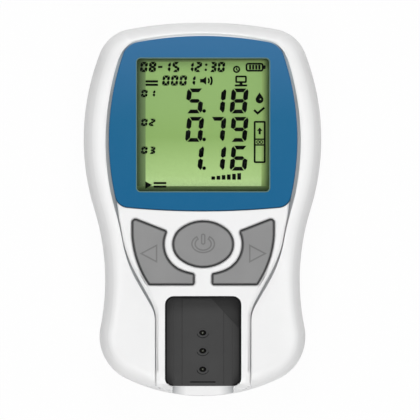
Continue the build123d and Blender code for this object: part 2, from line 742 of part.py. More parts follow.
def cell_ends():
    """Each cell's middle line, with 1 where its nub points to +Y and -1 where it points to -Y."""
    return [(x, -1 if i % 2 else 1) for i, x in enumerate(cell_xs())]


def battery_cells():
    """Two small round cells laid side by side, head to tail."""
    cells = []
    nub_tip = CELL_BAY_HALF_Y - CONTACT_THICK - CONTACT_PIP
    shift = nub_tip - CELL_NUB - CELL_BODY / 2
    nub = Pos(0, 0, (CELL_BODY + CELL_NUB) / 2) * Cylinder(CELL_NUB_R, CELL_NUB)
    for x, way in cell_ends():
        place = Pos(x, CELL_MID_Y + way * shift, CELL_Z) * Rot(-90 * way, 0, 0)
        cells.append(place * (Cylinder(CELL_R, CELL_BODY) + nub))
    return cells


def cell_contacts():
    """Pressed contact plate with a raised pip at the nub end of each cell."""
    plates = []
    for x, way in cell_ends():
        wall_y = CELL_MID_Y + way * CELL_BAY_HALF_Y
        plate = Box(2 * CONTACT_HALF_X, CONTACT_THICK, 2 * CONTACT_HALF_HIGH)
        pip = Pos(0, -way * (CONTACT_THICK + CONTACT_PIP) / 2, 0) * Box(2.6, CONTACT_PIP, 2.6)
        plates.append(Pos(x, wall_y - way * CONTACT_THICK / 2, CELL_Z) * (plate + pip))
    return plates


def cell_springs():
    """Folded leaf spring that presses on the flat end of each cell."""
    half = LEAF_THICK / 2
    nub_tip = CELL_BAY_HALF_Y - CONTACT_THICK - CONTACT_PIP
    gap = 2 * CELL_BAY_HALF_Y - (CELL_BODY + CELL_NUB) - (CELL_BAY_HALF_Y - nub_tip)
    path = Polyline(
        (half, CELL_Z - CONTACT_HALF_HIGH),
        (half, CELL_Z + 4.4),
        (gap - 0.35, CELL_Z),
        (gap - 2.6, CELL_Z - 3.2),
    )
    leaf = extrude(Plane.YZ * trace(path, LEAF_THICK), CONTACT_HALF_X - 0.3, both=True)
    springs = []
    for x, way in cell_ends():
        turned = leaf if way > 0 else mirror(leaf, about=Plane.XZ)
        springs.append(Pos(x, CELL_MID_Y - way * CELL_BAY_HALF_Y, 0) * turned)
    return springs


def door_outline(grow=0.0):
    """Outline of the cell door, square at its hinge end, with an even margin round it."""
    half_x = CELL_BAY_HALF_X + DOOR_MARGIN + grow
    reach = CELL_BAY_HALF_Y + DOOR_MARGIN + grow
    hinge_end = Pos(0, CELL_MID_Y - reach / 2) * Rectangle(2 * half_x, reach)
    return rounded_plate(half_x, CELL_MID_Y - reach, CELL_MID_Y + reach, 3 + grow) + hinge_end


def battery_door():
    """Cell door with a round hinge edge and hooks, a latch tongue at the other end and grip grooves."""
    low_y = CELL_MID_Y - CELL_BAY_HALF_Y - DOOR_MARGIN
    high_y = CELL_MID_Y + CELL_BAY_HALF_Y + DOOR_MARGIN
    axis_y = low_y + DOOR_THICK / 2
    round_end = ThreePointArc((axis_y, DOOR_THICK), (low_y, DOOR_THICK / 2), (axis_y, 0))
    rest = Polyline((axis_y, 0), (high_y, 0), (high_y, DOOR_THICK), (axis_y, DOOR_THICK))
    section = Plane.YZ * make_face(Curve() + [round_end, rest])
    door = extrude(section, BODY_REACH, both=True) & slab(door_outline(), 0, DOOR_THICK)
    for side in (-1, 1):
        door -= Pos(side * LATCH_WIDE / 2, high_y, 0) * Box(0.8, 2 * LATCH_LONG, 3 * DOOR_THICK)
    for i in range(3):
        y = high_y - LATCH_LONG / 2 + (i - 1) * 2
        door -= Pos(0, y, 0) * Box(LATCH_WIDE - 4, 0.8, 0.8)
    for x in DOOR_HOOK_XS:
        tongue_low = (x - DOOR_HOOK_X / 2, low_y - HOOK_REACH, DOOR_THICK + 0.3)
        door += box(tongue_low, (x + DOOR_HOOK_X / 2, low_y + 2, DOOR_THICK + 1.1))
        neck_low = (x - DOOR_HOOK_X / 2, axis_y, DOOR_THICK - 0.2)
        door += box(neck_low, (x + DOOR_HOOK_X / 2, low_y + 2, DOOR_THICK + 1))
    return door


def screw(x, y, seat, tip):
    """Screw that points up, with its head under the seat."""
    head = post(x, y, SCREW_HEAD_R, seat - SCREW_HEAD_HIGH, seat)
    return head + post(x, y, SCREW_R, seat, tip)


def all_parts():
    """Every sub-part by node name."""
    holes = key_outlines()
    places = switch_points()
    ears = key_ears()
    parts = {
        "front_cover": front_cover(),
        "rear_cover": rear_cover(),
        "centre_fascia": centre_fascia(),
        "face_panel": face_panel(),
        "window_lens": window_lens(),
        "window_gasket": window_gasket(),
        "lcd_panel": lcd_panel(),
        "lcd_backlight": lcd_backlight(),
        "lcd_frame": lcd_frame(),
        "zebra_strips": zebra_strips(),
        "main_board": main_board(),
        "board_chips": board_chips(),
        "data_socket": data_socket(),
        "buzzer": buzzer(),
        "key_switches": key_switches(),
        "optical_block": optical_block(),
        "aperture_lenses": aperture_lenses(),
        "sensor_board": sensor_board(),
        "light_sensors": light_sensors(),
        "sensor_ribbon": sensor_ribbon(),
        "battery_cells": battery_cells(),
        "cell_contacts": cell_contacts(),
        "cell_springs": cell_springs(),
        "battery_door": battery_door(),
        "case_screws": [
            screw(x, y, CASE_SCREW_SEAT, CASE_SCREW_TIP) for x, y in both_sides([CASE_SCREW])
        ],
    }
    for name, (x, y) in places.items():
        parts[name] = key_cap(holes[name], ears[name], x, y)
        parts[name.replace("key", "plunger")] = key_plunger(x, y)
    return parts


os.makedirs("parts", exist_ok=True)
for node, shape in all_parts().items():
    if isinstance(shape, list):
        shape = Compound(children=shape)
    export_step(shape, f"parts/{node}.step")
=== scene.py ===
"""Looks of the handheld lipid meter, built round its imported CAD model.

The meter lies on its back: +Z is its front, +Y its display end. Shapes are given in millimetres and
become metres where a mesh is made.
"""

import math

import bmesh
import bpy
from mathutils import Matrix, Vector
from mathutils.bvhtree import BVHTree


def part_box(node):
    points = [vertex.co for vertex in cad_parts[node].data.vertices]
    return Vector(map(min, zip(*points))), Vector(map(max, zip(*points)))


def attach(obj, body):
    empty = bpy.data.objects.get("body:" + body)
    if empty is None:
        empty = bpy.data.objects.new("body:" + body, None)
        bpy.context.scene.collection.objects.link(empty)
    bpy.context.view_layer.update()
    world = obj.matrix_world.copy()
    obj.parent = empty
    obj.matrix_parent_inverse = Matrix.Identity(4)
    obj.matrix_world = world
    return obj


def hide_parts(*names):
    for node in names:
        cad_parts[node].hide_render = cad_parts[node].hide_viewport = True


MM = 0.001
MERGE_GAP = 0.001
LEVEL_GAP = 0.004
SMOOTH_ANGLE = 38
MITRE_LIMIT = 0.35
RING_POINTS = 32
ARC_STEPS = 8
PHOTO_PIXELS = 420
MM_PER_PIXEL = 0.33827
FRONT_MIDDLE_PIXEL = (203.2, 209.3)
RIM_MIDDLE_PIXEL_X = 202.0

# Heights taken from the model
LCD_FACE = 21.6
KEY_FACE = 26.1
KEY_WALL_TOP = 25.8
PANEL_FACE = 26.0
FASCIA_FACE = 25.8
FASCIA_UNDER = 23.4
BAY_LAND = 21.4
RIM_HEIGHT = 12.6

# Panel and the groove round it
PANEL_SHARP = 60
PANEL_BORDER = 0.3
BORDER_EDGE = 0.01
PANEL_BORDER_LEVELS = (25.98, 26.012)
HEAD_BORDER = 0.4
HEAD_YS = (51.0, 57.0)
HEAD_RING = 0.03
RIM_LIP = 0.4
RIM_LIP_YS = (5.0, 36.0)
LIP_SUNK = 0.01
LIP_OVERLAP = 0.06
GROOVE_FLOOR = (23.42, 24.9)
GROOVE_YS = (36.0, 44.0)
GROOVE_THICK = 0.1
TAIL_LINE = [(10.3, -61.05), (13.0, -60.45), (15.0, -60.0), (16.4, -59.2)]
TAIL_LINE_WIDE = 0.42
TAIL_LINE_LEVELS = (23.1, 23.43)

# Roll of the inset plate
ROLL_EDGE = 0.05
EDGE_HEAD_Y = -3.0
EDGE_FOOT_Y = -54.0
EDGE_DROP = 0.35
EDGE_REACH = 0.2
CORNER_REACH = 0.3
CORNER_HEAD_YS = (-22.0, -27.0)
CORNER_FOOT_YS = (-36.0, -33.0)
TAIL_DROP = 0.6
BAY_WALL = 0.5

# Display
WINDOW_HALF = 22.3
WINDOW_MID_Y = 28.43
BORDER_LEFT = 3.0
BORDER_RIGHT = 2.5
BORDER_TOP = 1.0
BORDER_BOTTOM = 1.7
BORDER_LAP = 0.4
BORDER_ROUND = 0.3
BORDER_LEVELS = (21.602, 21.61)
INK_GAP = 0.01
INK_HIGH = 0.04
SLANT = 0.1
BIG_DIGIT = {"width": 5.75, "height": 8.4, "upright": 1.62, "level": 1.28, "gap": 0.1}
BIG_ROWS = [(32.35, "518"), (22.75, "079"), (13.05, "116")]
BIG_LEFT = -6.05
BIG_PITCH = 7.5
POINT_X = 0.45
POINT_RISE = 0.82
POINT_R = 0.62
SMALL_DIGIT = {"width": 2.45, "height": 3.45, "upright": 0.94, "level": 0.84, "gap": 0.02}
TIME_ROW_Y = 46.25
TIME_DIGITS = [
    (-21.25, "0"), (-18.35, "8"), (-13.45, "1"), (-10.45, "5"),
    (-5.7, "1"), (-2.95, "2"), (2.05, "3"), (4.85, "0"),
]
DATE_DASH = ((-15.1, 47.65), (-13.6, 48.35))
COLON_X = 1.0
COLON_FOOT = 47.0
COLON_YS = (47.05, 48.75)
COLON_R = 0.42
COUNT_ROW_Y = 41.7
COUNT_DIGITS = [(-13.8, "0"), (-10.9, "0"), (-8.0, "0"), (-5.1, "1")]
TAG_DIGIT = {"width": 2.15, "height": 2.5, "upright": 0.86, "level": 0.7, "gap": 0.0}
TAG_PITCH = 2.6
TAG_ROWS = [(-20.9, 37.8, "01"), (-20.9, 28.05, "02"), (-20.9, 18.65, "03")]

# Keys
KEY_SHARP = 30
KEY_HEAD_Y = -1.0
KEY_FOOT_Y = -27.0
POWER_MID = (0.0, -11.65)
POWER_RING_OUTER = (3.8, 2.9)
POWER_RING_INNER = (2.7, 2.1)
POWER_BAR = (-0.53, -11.7, 0.53, -8.4)
ARROW_TIP = (20.9, -14.9)
ARROW_BASE_X = 15.7
ARROW_BASE_HALF = 2.75
LEGEND_LINE = 0.5
LEGEND_SUNK = 0.03
SEAL_REACH = (-0.36, 0.02)
SEAL_LEVELS = (24.45, 24.95)
HOLE_ROUND = 0.7
HOLE_STEPS = 4
HOLE_SLOT = 1

# Test bay
BAY_HALF_X = 12.65
BAY_TOP_Y = -29.46
BAY_BOTTOM_Y = -59.6
MOUTH_HALF_X = 10.25
MOUTH_FADE = 5.5
BAY_ROUND = 2.7
BAY_LINER = 0.45
BAY_FLANGE = 0.22
TAIL_HEAD_Y = -55.5
FLANGE_HIGH = 0.05
LINER_GAP = 0.02
WALL_GAP = 0.03
WALL_SUNK = 0.005
# Patch of painted shade in the bay's upper right corner
BAY_SHADE_CORNER = (2.8, -40.1)
BAY_SHADE_LEVELS = (21.405, 21.44)

# Lenses in the bay
APERTURE_YS = [-41.64, -47.7, -53.95]
SLEEVE_RADII = (1.23, 0.62)
DOME_RADII = (0.6, 0.5)
DOME_LEVEL = 20.5
DOME_FOOT = 20.2
SLEEVE_LEVELS = (20.25, 20.55)
EYE_OPENING = (1.2, 0.92)
COLLAR_OUTER = (1.86, 1.5)
COLLAR_SHIFT = 0.08
COLLAR_LEVELS = (21.402, 21.52)
# Dark line under each collar: painted shadow
COLLAR_SHADOW_RADII = (1.96, 1.6)
COLLAR_SHADOW_WIDE = 0.2
COLLAR_SHADOW_LEVELS = (21.404, 21.45)

# Case screws, with radii and levels from the head up to the tip
SCREW_POINTS = 16
SCREW_HEAD = [(0.9, 7.0), (1.7, 7.12), (2.15, 7.45), (2.3, 8.0), (2.3, 8.6), (1.15, 8.6)]
SCREW_HEAD_R = 2.3
THREAD_TURNS = 11
THREAD_FOOT = 8.8
THREAD_TOP = 17.6
THREAD_PITCH = 0.78
THREAD_FLANK = 0.3
THREAD_ROOT = 0.92
THREAD_CREST = 1.18
RECESS_ARM = 1.15
RECESS_HALF = 0.2
RECESS_LEVELS = (6.97, 7.03)

# Studio, with each lamp's name, azimuth, elevation and power
CAMERA_DISTANCE = 3.0
WORLD_LEVEL = 0.36
PATCH_LEVEL = 0.12
PATCH_RISE = (0.93, 0.985)
FLOOR_GLOW = 0.95
FLOOR_HALF = 6.0
FLOOR_GAP = 0.2
LAMP_DISTANCE = 0.6
LAMP_SIZE = 0.24
LAMPS = [
    ("lamp_top", 90, 54, 1.02),
    ("lamp_left", 180, 68, 0.43),
    ("lamp_right", 0, 68, 0.39),
    ("lamp_foot", 270, 52, 0.92),
]

# What several finishes share: patches and grains per metre, grain depth, colours
PATCHES = 90
GLOSS_PATCHES = 240
GRAIN = 2600
GRAIN_DEPTH = 0.006
SHELL_WHITE = (243, 243, 243)
# Painted shade for the floor of the seam and of the groove round the panel
SEAM_SHADE_GREY = (196, 198, 200)
INK_BLUE = (72, 128, 172)

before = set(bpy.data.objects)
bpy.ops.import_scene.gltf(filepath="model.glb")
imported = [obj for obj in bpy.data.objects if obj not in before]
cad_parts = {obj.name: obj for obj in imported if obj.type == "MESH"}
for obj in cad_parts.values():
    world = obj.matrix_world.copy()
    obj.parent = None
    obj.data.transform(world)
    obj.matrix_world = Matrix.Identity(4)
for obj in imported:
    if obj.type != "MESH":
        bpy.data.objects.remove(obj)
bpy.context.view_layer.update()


# Colours and materials

def linear(rgb):
    """Shader colour of an sRGB colour given as three numbers up to 255."""
    out = []
    for value in rgb:
        part = value / 255
        out.append(part / 12.92 if part <= 0.04045 else ((part + 0.055) / 1.055) ** 2.4)
    return (*out, 1.0)


class Nodes:
    """Node tree, with short calls for the nodes that materials and the world share."""

    def __init__(self, tree):
        self.tree = tree

    def node(self, kind, **settings):
        """New node with its settings."""
        made = self.tree.nodes.new(kind)
        for key, value in settings.items():
            setattr(made, key, value)
        return made

    def join(self, source, target):
        """Link from one socket to another."""
        self.tree.links.new(source, target)

    def part_of(self, vector, axis):
        """One of the three parts of a vector."""
        split = self.node("ShaderNodeSeparateXYZ")
        self.join(vector, split.inputs["Vector"])
        return split.outputs[axis]

    def spread(self, source, low, high, start=0.3, end=0.7):
        """A value moved from the range between start and end to the one between low and high."""
        made = self.node("ShaderNodeMapRange")
        for key, value in (("From Min", start), ("From Max", end), ("To Min", low), ("To Max", high)):
            made.inputs[key].default_value = value
        self.join(source, made.inputs["Value"])
        return made.outputs["Result"]

    def combine(self, operation, first, *others):
        """Values joined by a sum, a product or the like."""
        for other in others:
            made = self.node("ShaderNodeMath", operation=operation)
            self.join(first, made.inputs[0])
            self.join(other, made.inputs[1])
            first = made.outputs["Value"]
        return first

    def product(self, *shares):
        """Shares multiplied together."""
        return self.combine("MULTIPLY", *shares)


class Finish(Nodes):
    """A node-based material, which reads its pattern from the places on its object."""

    def __init__(self, name, roughness=0.5, metallic=0.0, coat=0.0, level=0.5):
        self.material = bpy.data.materials.new(name)
        self.material.use_nodes = True
        super().__init__(self.material.node_tree)
        self.shader = self.tree.nodes["Principled BSDF"]
        self.shader.inputs["Roughness"].default_value = roughness
        self.shader.inputs["Metallic"].default_value = metallic
        self.shader.inputs["Coat Weight"].default_value = coat
        self.shader.inputs["Coat Roughness"].default_value = 0.12
        self.shader.inputs["Specular IOR Level"].default_value = level
        self.place = self.node("ShaderNodeTexCoord").outputs["Object"]

    def over(self, axis, low, high, start, end):
        """A value from low to high between two places along an axis, given in millimetres."""
        return self.spread(self.part_of(self.place, axis), low, high, start * MM, end * MM)

    def facing_up(self, low, high, start, end):
        """A value from low to high as the surface turns upwards."""
        normal = self.node("ShaderNodeNewGeometry").outputs["Normal"]
        return self.spread(self.part_of(normal, "Z"), low, high, start, end)

    def noise(self, scale, detail=3.0):
        """Noise over the object, with scale in patches per metre."""
        made = self.node("ShaderNodeTexNoise")
        made.inputs["Scale"].default_value = scale
        made.inputs["Detail"].default_value = detail
        self.join(self.place, made.inputs["Vector"])
        return made.outputs["Fac"]

    def blend(self, share, first, second):
        """Mix of two colours, each a socket or an sRGB colour."""
        made = self.node("ShaderNodeMix", data_type="RGBA")
        self.join(share, made.inputs[0])
        for socket, colour in ((made.inputs[6], first), (made.inputs[7], second)):
            if isinstance(colour, bpy.types.NodeSocket):
                self.join(colour, socket)
            else:
                socket.default_value = linear(colour)
        return made.outputs[2]

    def ramp(self, axis, start, end, stops):
        """Colour along an axis, from stops of (share of the way from start to end, sRGB colour)."""
        made = self.node("ShaderNodeValToRGB")
        for i, (place, rgb) in enumerate(stops):
            stop = made.color_ramp.elements[i] if i < 2 else made.color_ramp.elements.new(place)
            stop.position = place
            stop.color = linear(rgb)
        self.join(self.over(axis, 0, 1, start, end), made.inputs["Fac"])
        return made.outputs["Color"]

    def greys(self, axis, start, end, stops):
        """Grey along an axis, from stops of (share of the way, grey level)."""
        return self.ramp(axis, start, end, [(place, (grey, grey, grey)) for place, grey in stops])

    def speckled(self, face, tint, amount=0.1, scale=PATCHES):
        """A colour with soft patches of another."""
        return self.blend(self.spread(self.noise(scale), 0, amount), face, tint)

    def mottled(self, rgb, amount, scale=PATCHES):
        """The colour, a little darker and lighter in soft patches."""
        dark = [max(0, value - amount) for value in rgb]
        light = [min(255, value + amount) for value in rgb]
        return self.speckled(dark, light, 1, scale)

    def striped(self, first, second, scale):
        """Even stripes of two colours across the object."""
        wave = self.node("ShaderNodeTexWave", wave_type="BANDS", bands_direction="X")
        wave.inputs["Scale"].default_value = scale
        self.join(self.place, wave.inputs["Vector"])
        return self.blend(self.spread(wave.outputs["Fac"], 0, 1, 0.4, 0.6), first, second)

    def colour(self, source):
        """Use a colour for the surface."""
        self.join(source, self.shader.inputs["Base Color"])

    def uneven_gloss(self, below=0.04, above=0.05, scale=GLOSS_PATCHES):
        """Roughness that varies in patches, below and above its level."""
        rough = self.shader.inputs["Roughness"]
        level = rough.default_value
        self.join(self.spread(self.noise(scale), level - below, level + above), rough)

    def surface(self, grain=GRAIN, depth=GRAIN_DEPTH, edge=0.0):
        """Fine relief of a moulded or cast surface, with its edges rounded by the edge radius."""
        bump = self.node("ShaderNodeBump")
        bump.inputs["Distance"].default_value = depth * MM
        bump.inputs["Strength"].default_value = 1.0
        self.join(self.noise(grain, 2.0), bump.inputs["Height"])
        if edge:
            bevel = self.node("ShaderNodeBevel", samples=6)
            bevel.inputs["Radius"].default_value = edge * MM
            self.join(bevel.outputs["Normal"], bump.inputs["Normal"])
        self.join(bump.outputs["Normal"], self.shader.inputs["Normal"])

    def show_instead(self, share, shader):
        """Another shader that takes the place of the first by a share."""
        mix = self.node("ShaderNodeMixShader")
        self.join(share, mix.inputs["Fac"])
        self.join(self.shader.outputs["BSDF"], mix.inputs[1])
        self.join(shader, mix.inputs[2])
        self.join(mix.outputs["Shader"], self.tree.nodes["Material Output"].inputs["Surface"])


def plain(name, rgb, vary, patches, grain, depth, edge, roughness, level=0.5, metallic=0.0):
    """Mottled material with a fine relief."""
    made = Finish(name, roughness, metallic, level=level)
    made.colour(made.mottled(rgb, vary, patches))
    made.surface(grain, depth, edge)
    return made


def moulded(name, rgb, roughness, vary, grain, depth, edge=0.0, level=0.5):
    """Injection-moulded plastic with a fine even texture."""
    made = plain(name, rgb, vary, PATCHES, grain, depth, edge, roughness, level)
    made.uneven_gloss()
    return made


def metal(name, rgb, roughness, brushed):
    """Bare metal with a light drawn grain."""
    made = plain(name, rgb, 12, 500, brushed * 4, 0.004, 0.06, roughness, metallic=1.0)
    made.uneven_gloss(0.08, 0.1, brushed)
    return made


def case_white():
    """White shell plastic, with painted shade on its rolled rim, on the seam's floor and in the mouth's
    corners.
    """
    made = Finish("case_white", 0.36, coat=0.2)
    # Painted shade: the rolled rim darkens as it falls away from the face
    slope_shade = made.product(
        made.over("Z", 1, 0, 25.0, 25.6),
        made.over("Z", 0, 1, 13, 20),
        made.over("Y", 0, 1, -56, -46),
        made.over("Y", 1, 0, 50, 58),
    )
    # Painted shade on the floor of the seam, where the recess would shade it
    seam = made.product(
        made.over("Z", 1, 0, 23.45, 23.6),
        made.over("Z", 0, 1, 23.3, 23.35),
        made.over("Y", 0, 1, -56, -53),
        made.facing_up(0, 1, 0.8, 0.95),
    )
    # Painted shade at both ends of the mouth's sill, beside its side walls
    across = made.part_of(made.place, "X")
    square = made.product(across, across)
    wall = [((MOUTH_HALF_X + past) * MM) ** 2 for past in (0.03, 0.08)]
    mouth = made.product(
        made.spread(square, 0, 1, (MOUTH_FADE * MM) ** 2, (MOUTH_HALF_X * MM) ** 2),
        made.spread(square, 1, 0, *wall),
        made.over("Y", 1, 0, BAY_BOTTOM_Y - 0.2, BAY_BOTTOM_Y),
        made.facing_up(0, 1, 0.55, 0.9),
    )
    face = made.blend(slope_shade, made.mottled(SHELL_WHITE, 1), (228, 228, 228))
    made.colour(made.blend(mouth, made.blend(seam, face, SEAM_SHADE_GREY), (168, 170, 172)))
    made.uneven_gloss()
    made.surface(edge=0.15)
    return made


def fascia_white():
    """White plastic of the inset plate, with painted shade in the groove round the panel and on its outer
    roll.
    """
    made = Finish("fascia_white", 0.4, coat=0.2)
    # Painted shade in the groove beside the panel
    groove = made.product(
        made.over("Z", 1, 0, 25.3, 25.75),
        made.over("Y", 0, 1, -3, 1),
        made.over("Y", 1, 0.2, 46, 53),
    )
    # Painted shade on the plate's outer roll beside the keys and the bay
    roll = made.product(
        made.over("Y", 1, 0.3, -36, -31),
        made.over("Y", 0, 1, -55.4, -54),
        made.over("Y", 1, 0, -6, -3),
    )
    # Painted shade: grey levels down the rounded edge, by height
    shades = ((0, 236), (1, 243), (0.36, 196), (0.5, 186), (0.66, 196), (0.78, 210), (0.9, 226))
    shoulder_shade = made.greys("Z", FASCIA_FACE - 0.3, FASCIA_FACE, shades)
    face = made.blend(roll, made.mottled(SHELL_WHITE, 1), shoulder_shade)
    made.colour(made.blend(groove, face, (146, 159, 167)))
    made.uneven_gloss()
    made.surface(edge=0.12)
    return made


def hole_shade_white():
    """Rounded upper edge of a key hole, with painted shade that deepens towards the key."""
    made = Finish("hole_shade_white", 0.4)
    # Painted shade: darker down the rounded edge towards the key
    shades = ((0, 130), (1, 241), (0.6, 178), (0.87, 212), (0.97, 230))
    face = made.greys("Z", FASCIA_FACE - HOLE_ROUND, FASCIA_FACE, shades)
    made.colour(made.speckled(face, (226, 226, 226)))
    made.surface()
    return made


def panel_blue():
    """Blue printed sheet with a satin face, a painted sheen that lightens it towards the head, and pale cut
    edges round the window.
    """
    made = Finish("panel_blue", 0.36, level=0.14)
    # Painted sheen: the blue lightens towards the head
    shades = ((0, (14, 97, 142)), (1, (54, 110, 155)), (0.5, (24, 100, 142)))
    face = made.speckled(made.ramp("Y", 4, 56, shades), INK_BLUE, 0.12, 5200)
    made.colour(made.blend(made.facing_up(1, 0, 0.85, 0.95), face, (104, 136, 130)))
    made.uneven_gloss(0.04, 0.04, 400)
    made.surface(4200, 0.004, 0.1)
    return made


def groove_shade():
    """Grey floor of the groove round the panel's head, coloured with painted shade."""
    made = Finish("groove_shade", 0.45)
    # Painted shade, deeper grey as the floor rises
    face = made.ramp("Z", *GROOVE_FLOOR, ((0, SEAM_SHADE_GREY), (1, (168, 178, 186))))
    made.colour(made.speckled(face, (176, 180, 184)))
    made.surface()
    return made


def panel_rim_light_shade():
    """Rolled outer edge of the panel, with a painted highlight at the head and painted shade at the foot."""
    made = Finish("panel_rim_light_shade", 0.36, level=0.14)
    # Painted shade at the foot, painted highlight at the head
    shades = (
        (0, (12, 60, 90)), (1, (238, 240, 241)), (0.06, (20, 84, 122)), (0.7, (44, 102, 146)),
        (0.91, (48, 98, 138)), (0.95, (136, 148, 158)), (0.98, (196, 202, 206)),
    )
    made.colour(made.speckled(made.ramp("Y", 2, 58, shades), INK_BLUE, 0.1, 3600))
    made.surface(3600, 0.004)
    return made


def lcd_green():
    """Reflective display glass with painted light: brighter towards its foot, with a painted highlight line
    at the foot.
    """
    made = Finish("lcd_green", 0.3, level=0.2)
    # Painted light: bright highlight line at the foot, darker upwards
    shades = ((0, (214, 245, 174)), (1, (148, 182, 111)), (0.15, (180, 212, 140)), (0.6, (144, 178, 103)))
    made.colour(made.speckled(made.ramp("Y", 7, 36, shades), (142, 174, 104), 0.2, 1500))
    made.surface(9000, 0.002)
    return made


def lcd_shade():
    """Painted shadow on the display's edges, darker towards the window's walls."""
    made = Finish("lcd_shade", 0.35, level=0.2)
    # Painted shadow, darkest at the window's walls
    left = BORDER_LEFT / (2 * WINDOW_HALF)
    right = 1 - BORDER_RIGHT / (2 * WINDOW_HALF)
    shades = ((0, (58, 76, 46)), (1, (64, 88, 50)), (left, (112, 137, 88)), (right, (150, 178, 106)))
    sides = made.ramp("X", -WINDOW_HALF, WINDOW_HALF, shades)
    foot_y = WINDOW_MID_Y - WINDOW_HALF
    inner_y = foot_y + BORDER_BOTTOM
    top_y = WINDOW_MID_Y + WINDOW_HALF
    foot = made.ramp("Y", foot_y, inner_y, ((0, (42, 60, 34)), (1, (92, 116, 66))))
    lower = made.blend(made.over("Y", 1, 0, inner_y - 0.03 * BORDER_BOTTOM, inner_y), sides, foot)
    made.colour(made.blend(made.over("Y", 0, 1, top_y - BORDER_TOP, top_y), lower, (58, 76, 46)))
    made.surface(9000, 0.002)
    return made


def clear_window():
    """Clear moulded window that lets the light of lamps and room through."""
    made = Finish("clear_window", 0.02)
    made.shader.inputs["Base Color"].default_value = (0.97, 0.985, 0.98, 1)
    made.shader.inputs["Transmission Weight"].default_value = 1.0
    made.shader.inputs["IOR"].default_value = 1.12
    made.surface(600, 0.001)
    paths = made.node("ShaderNodeLightPath").outputs
    light = made.combine("MAXIMUM", paths["Is Shadow Ray"], paths["Is Diffuse Ray"])
    made.show_instead(light, made.node("ShaderNodeBsdfTransparent").outputs["BSDF"])
    return made


def key_grey():
    """Grey rubbery key whose rolled edge is darkened by painted shade."""
    made = Finish("key_grey", 0.62, level=0.3)
    face = made.mottled((141, 141, 141), 3)
    # Painted shade on the key's sloping edge
    made.colour(made.blend(made.facing_up(1, 0, 0.8, 0.95), face, (106, 106, 106)))
    made.uneven_gloss()
    made.surface(3400, 0.012)
    return made


def zebra_rubber():
    """Striped contact rubber."""
    made = Finish("zebra_rubber", 0.7)
    made.colour(made.striped((64, 60, 58), (186, 178, 168), 620))
    made.surface(2400, 0.01)
    return made


def board_green():
    """Circuit board with solder mask over fine tracks."""
    made = Finish("board_green", 0.32, coat=0.3)
    tracks = made.node("ShaderNodeTexVoronoi", feature="DISTANCE_TO_EDGE", distance="MANHATTAN")
    tracks.inputs["Scale"].default_value = 230
    made.join(made.place, tracks.inputs["Vector"])
    mask = made.mottled((28, 92, 58), 6, 300)
    made.colour(made.blend(made.spread(tracks.outputs["Distance"], 1, 0, 0.04, 0.08), mask, (60, 132, 84)))
    made.surface(3000, 0.01, 0.05)
    return made


def cell_wrap():
    """Printed cell sleeve in two plain colours."""
    made = Finish("cell_wrap", 0.3, coat=0.4)
    sleeve = made.blend(made.over("Y", 0, 1, 36.5, 36.7), (44, 46, 50), (176, 120, 66))
    made.colour(made.speckled(sleeve, (90, 84, 78), 0.2, 700))
    made.surface(900, 0.01, 0.2)
    return made


def ribbon_white():
    """Flat cable with fine conductors under its film."""
    made = Finish("ribbon_white", 0.35, coat=0.3)
    made.colour(made.striped((226, 226, 220), (188, 186, 178), 300))
    made.surface(2000, 0.005)
    return made


# Colour, mottling, its scale, grain, its depth, the radius of edges, roughness and reflection
PLAIN = {
    "lcd_ink": ((2, 4, 2), 1, 900, 8000, 0.002, 0, 0.5, 0.03),
    "lens_clear": ((40, 42, 28), 8, 1200, 5000, 0.002, 0.1, 0.16, 0.6),
    "light_guide": ((226, 236, 222), 8, 1600, 1800, 0.01, 0, 0.3),
    "black_foam": ((30, 31, 32), 12, 1800, 3200, 0.05, 0, 0.95, 0.2),
}
# Colour, roughness, mottling, grain, its depth, the radius of edges and reflection
MOULDED = {
    "chip_black": ((38, 39, 41), 0.55, 4, 4000, 0.01, 0.08),
    "black_plastic": ((34, 34, 36), 0.5, 4, 2400, 0.01, 0.1),
    "legend_grey": ((119, 119, 119), 0.7, 4, 3600, 0.006, 0, 0.3),
    # Black of seals, also used for pieces that are painted shade
    "seal_black": ((22, 22, 23), 0.7, 4, 2600, 0.01, 0, 0.1),
    # Dark rubber of the key skirts, which also serves as painted shade in the key gaps
    "key_rubber": ((88, 88, 89), 0.7, 4, 2600, 0.01, 0, 0.1),
    "tail_white": ((226, 227, 228), 0.5, 2, 2600, 0.006),
    "block_black": ((67, 67, 67), 0.55, 2, 2400, 0.01, 0.1, 0.12),
    # Painted shade for the bay's corner
    "pad_black": ((56, 56, 56), 0.6, 2, 2400, 0.006, 0, 0.1),
}
# Colour, roughness and the scale of the drawn grain
METALS = {
    "tinned_steel": ((196, 198, 200), 0.3, 900),
    "screw_steel": ((168, 170, 172), 0.34, 1400),
}
MATERIALS = {make.__name__: make().material for make in (
    case_white, fascia_white, hole_shade_white, panel_blue, panel_rim_light_shade, groove_shade, lcd_green, lcd_shade,
    clear_window, zebra_rubber, board_green, key_grey, ribbon_white, cell_wrap,
)}
for maker, looks in ((plain, PLAIN), (moulded, MOULDED), (metal, METALS)):
    MATERIALS.update((name, maker(name, *look).material) for name, look in looks.items())

# The CAD nodes that stay in view, under their finish
NODES_IN_FINISH = {
    "panel_blue": "face_panel",
    "clear_window": "window_lens",
    "black_foam": "window_gasket",
    "lcd_green": "lcd_panel",
    "light_guide": "lcd_backlight",
    "zebra_rubber": "zebra_strips",
    "board_green": "main_board sensor_board",
    "chip_black": "board_chips light_sensors",
    "tinned_steel": "data_socket cell_contacts cell_springs",
    "black_plastic": "lcd_frame buzzer key_switches left_plunger power_plunger right_plunger",
    "block_black": "optical_block",
    "lens_clear": "aperture_lenses",
    "ribbon_white": "sensor_ribbon",
    "cell_wrap": "battery_cells",
    "case_white": "battery_door",
    "screw_steel": "case_screws",
    "key_grey": "left_key power_key right_key",
}


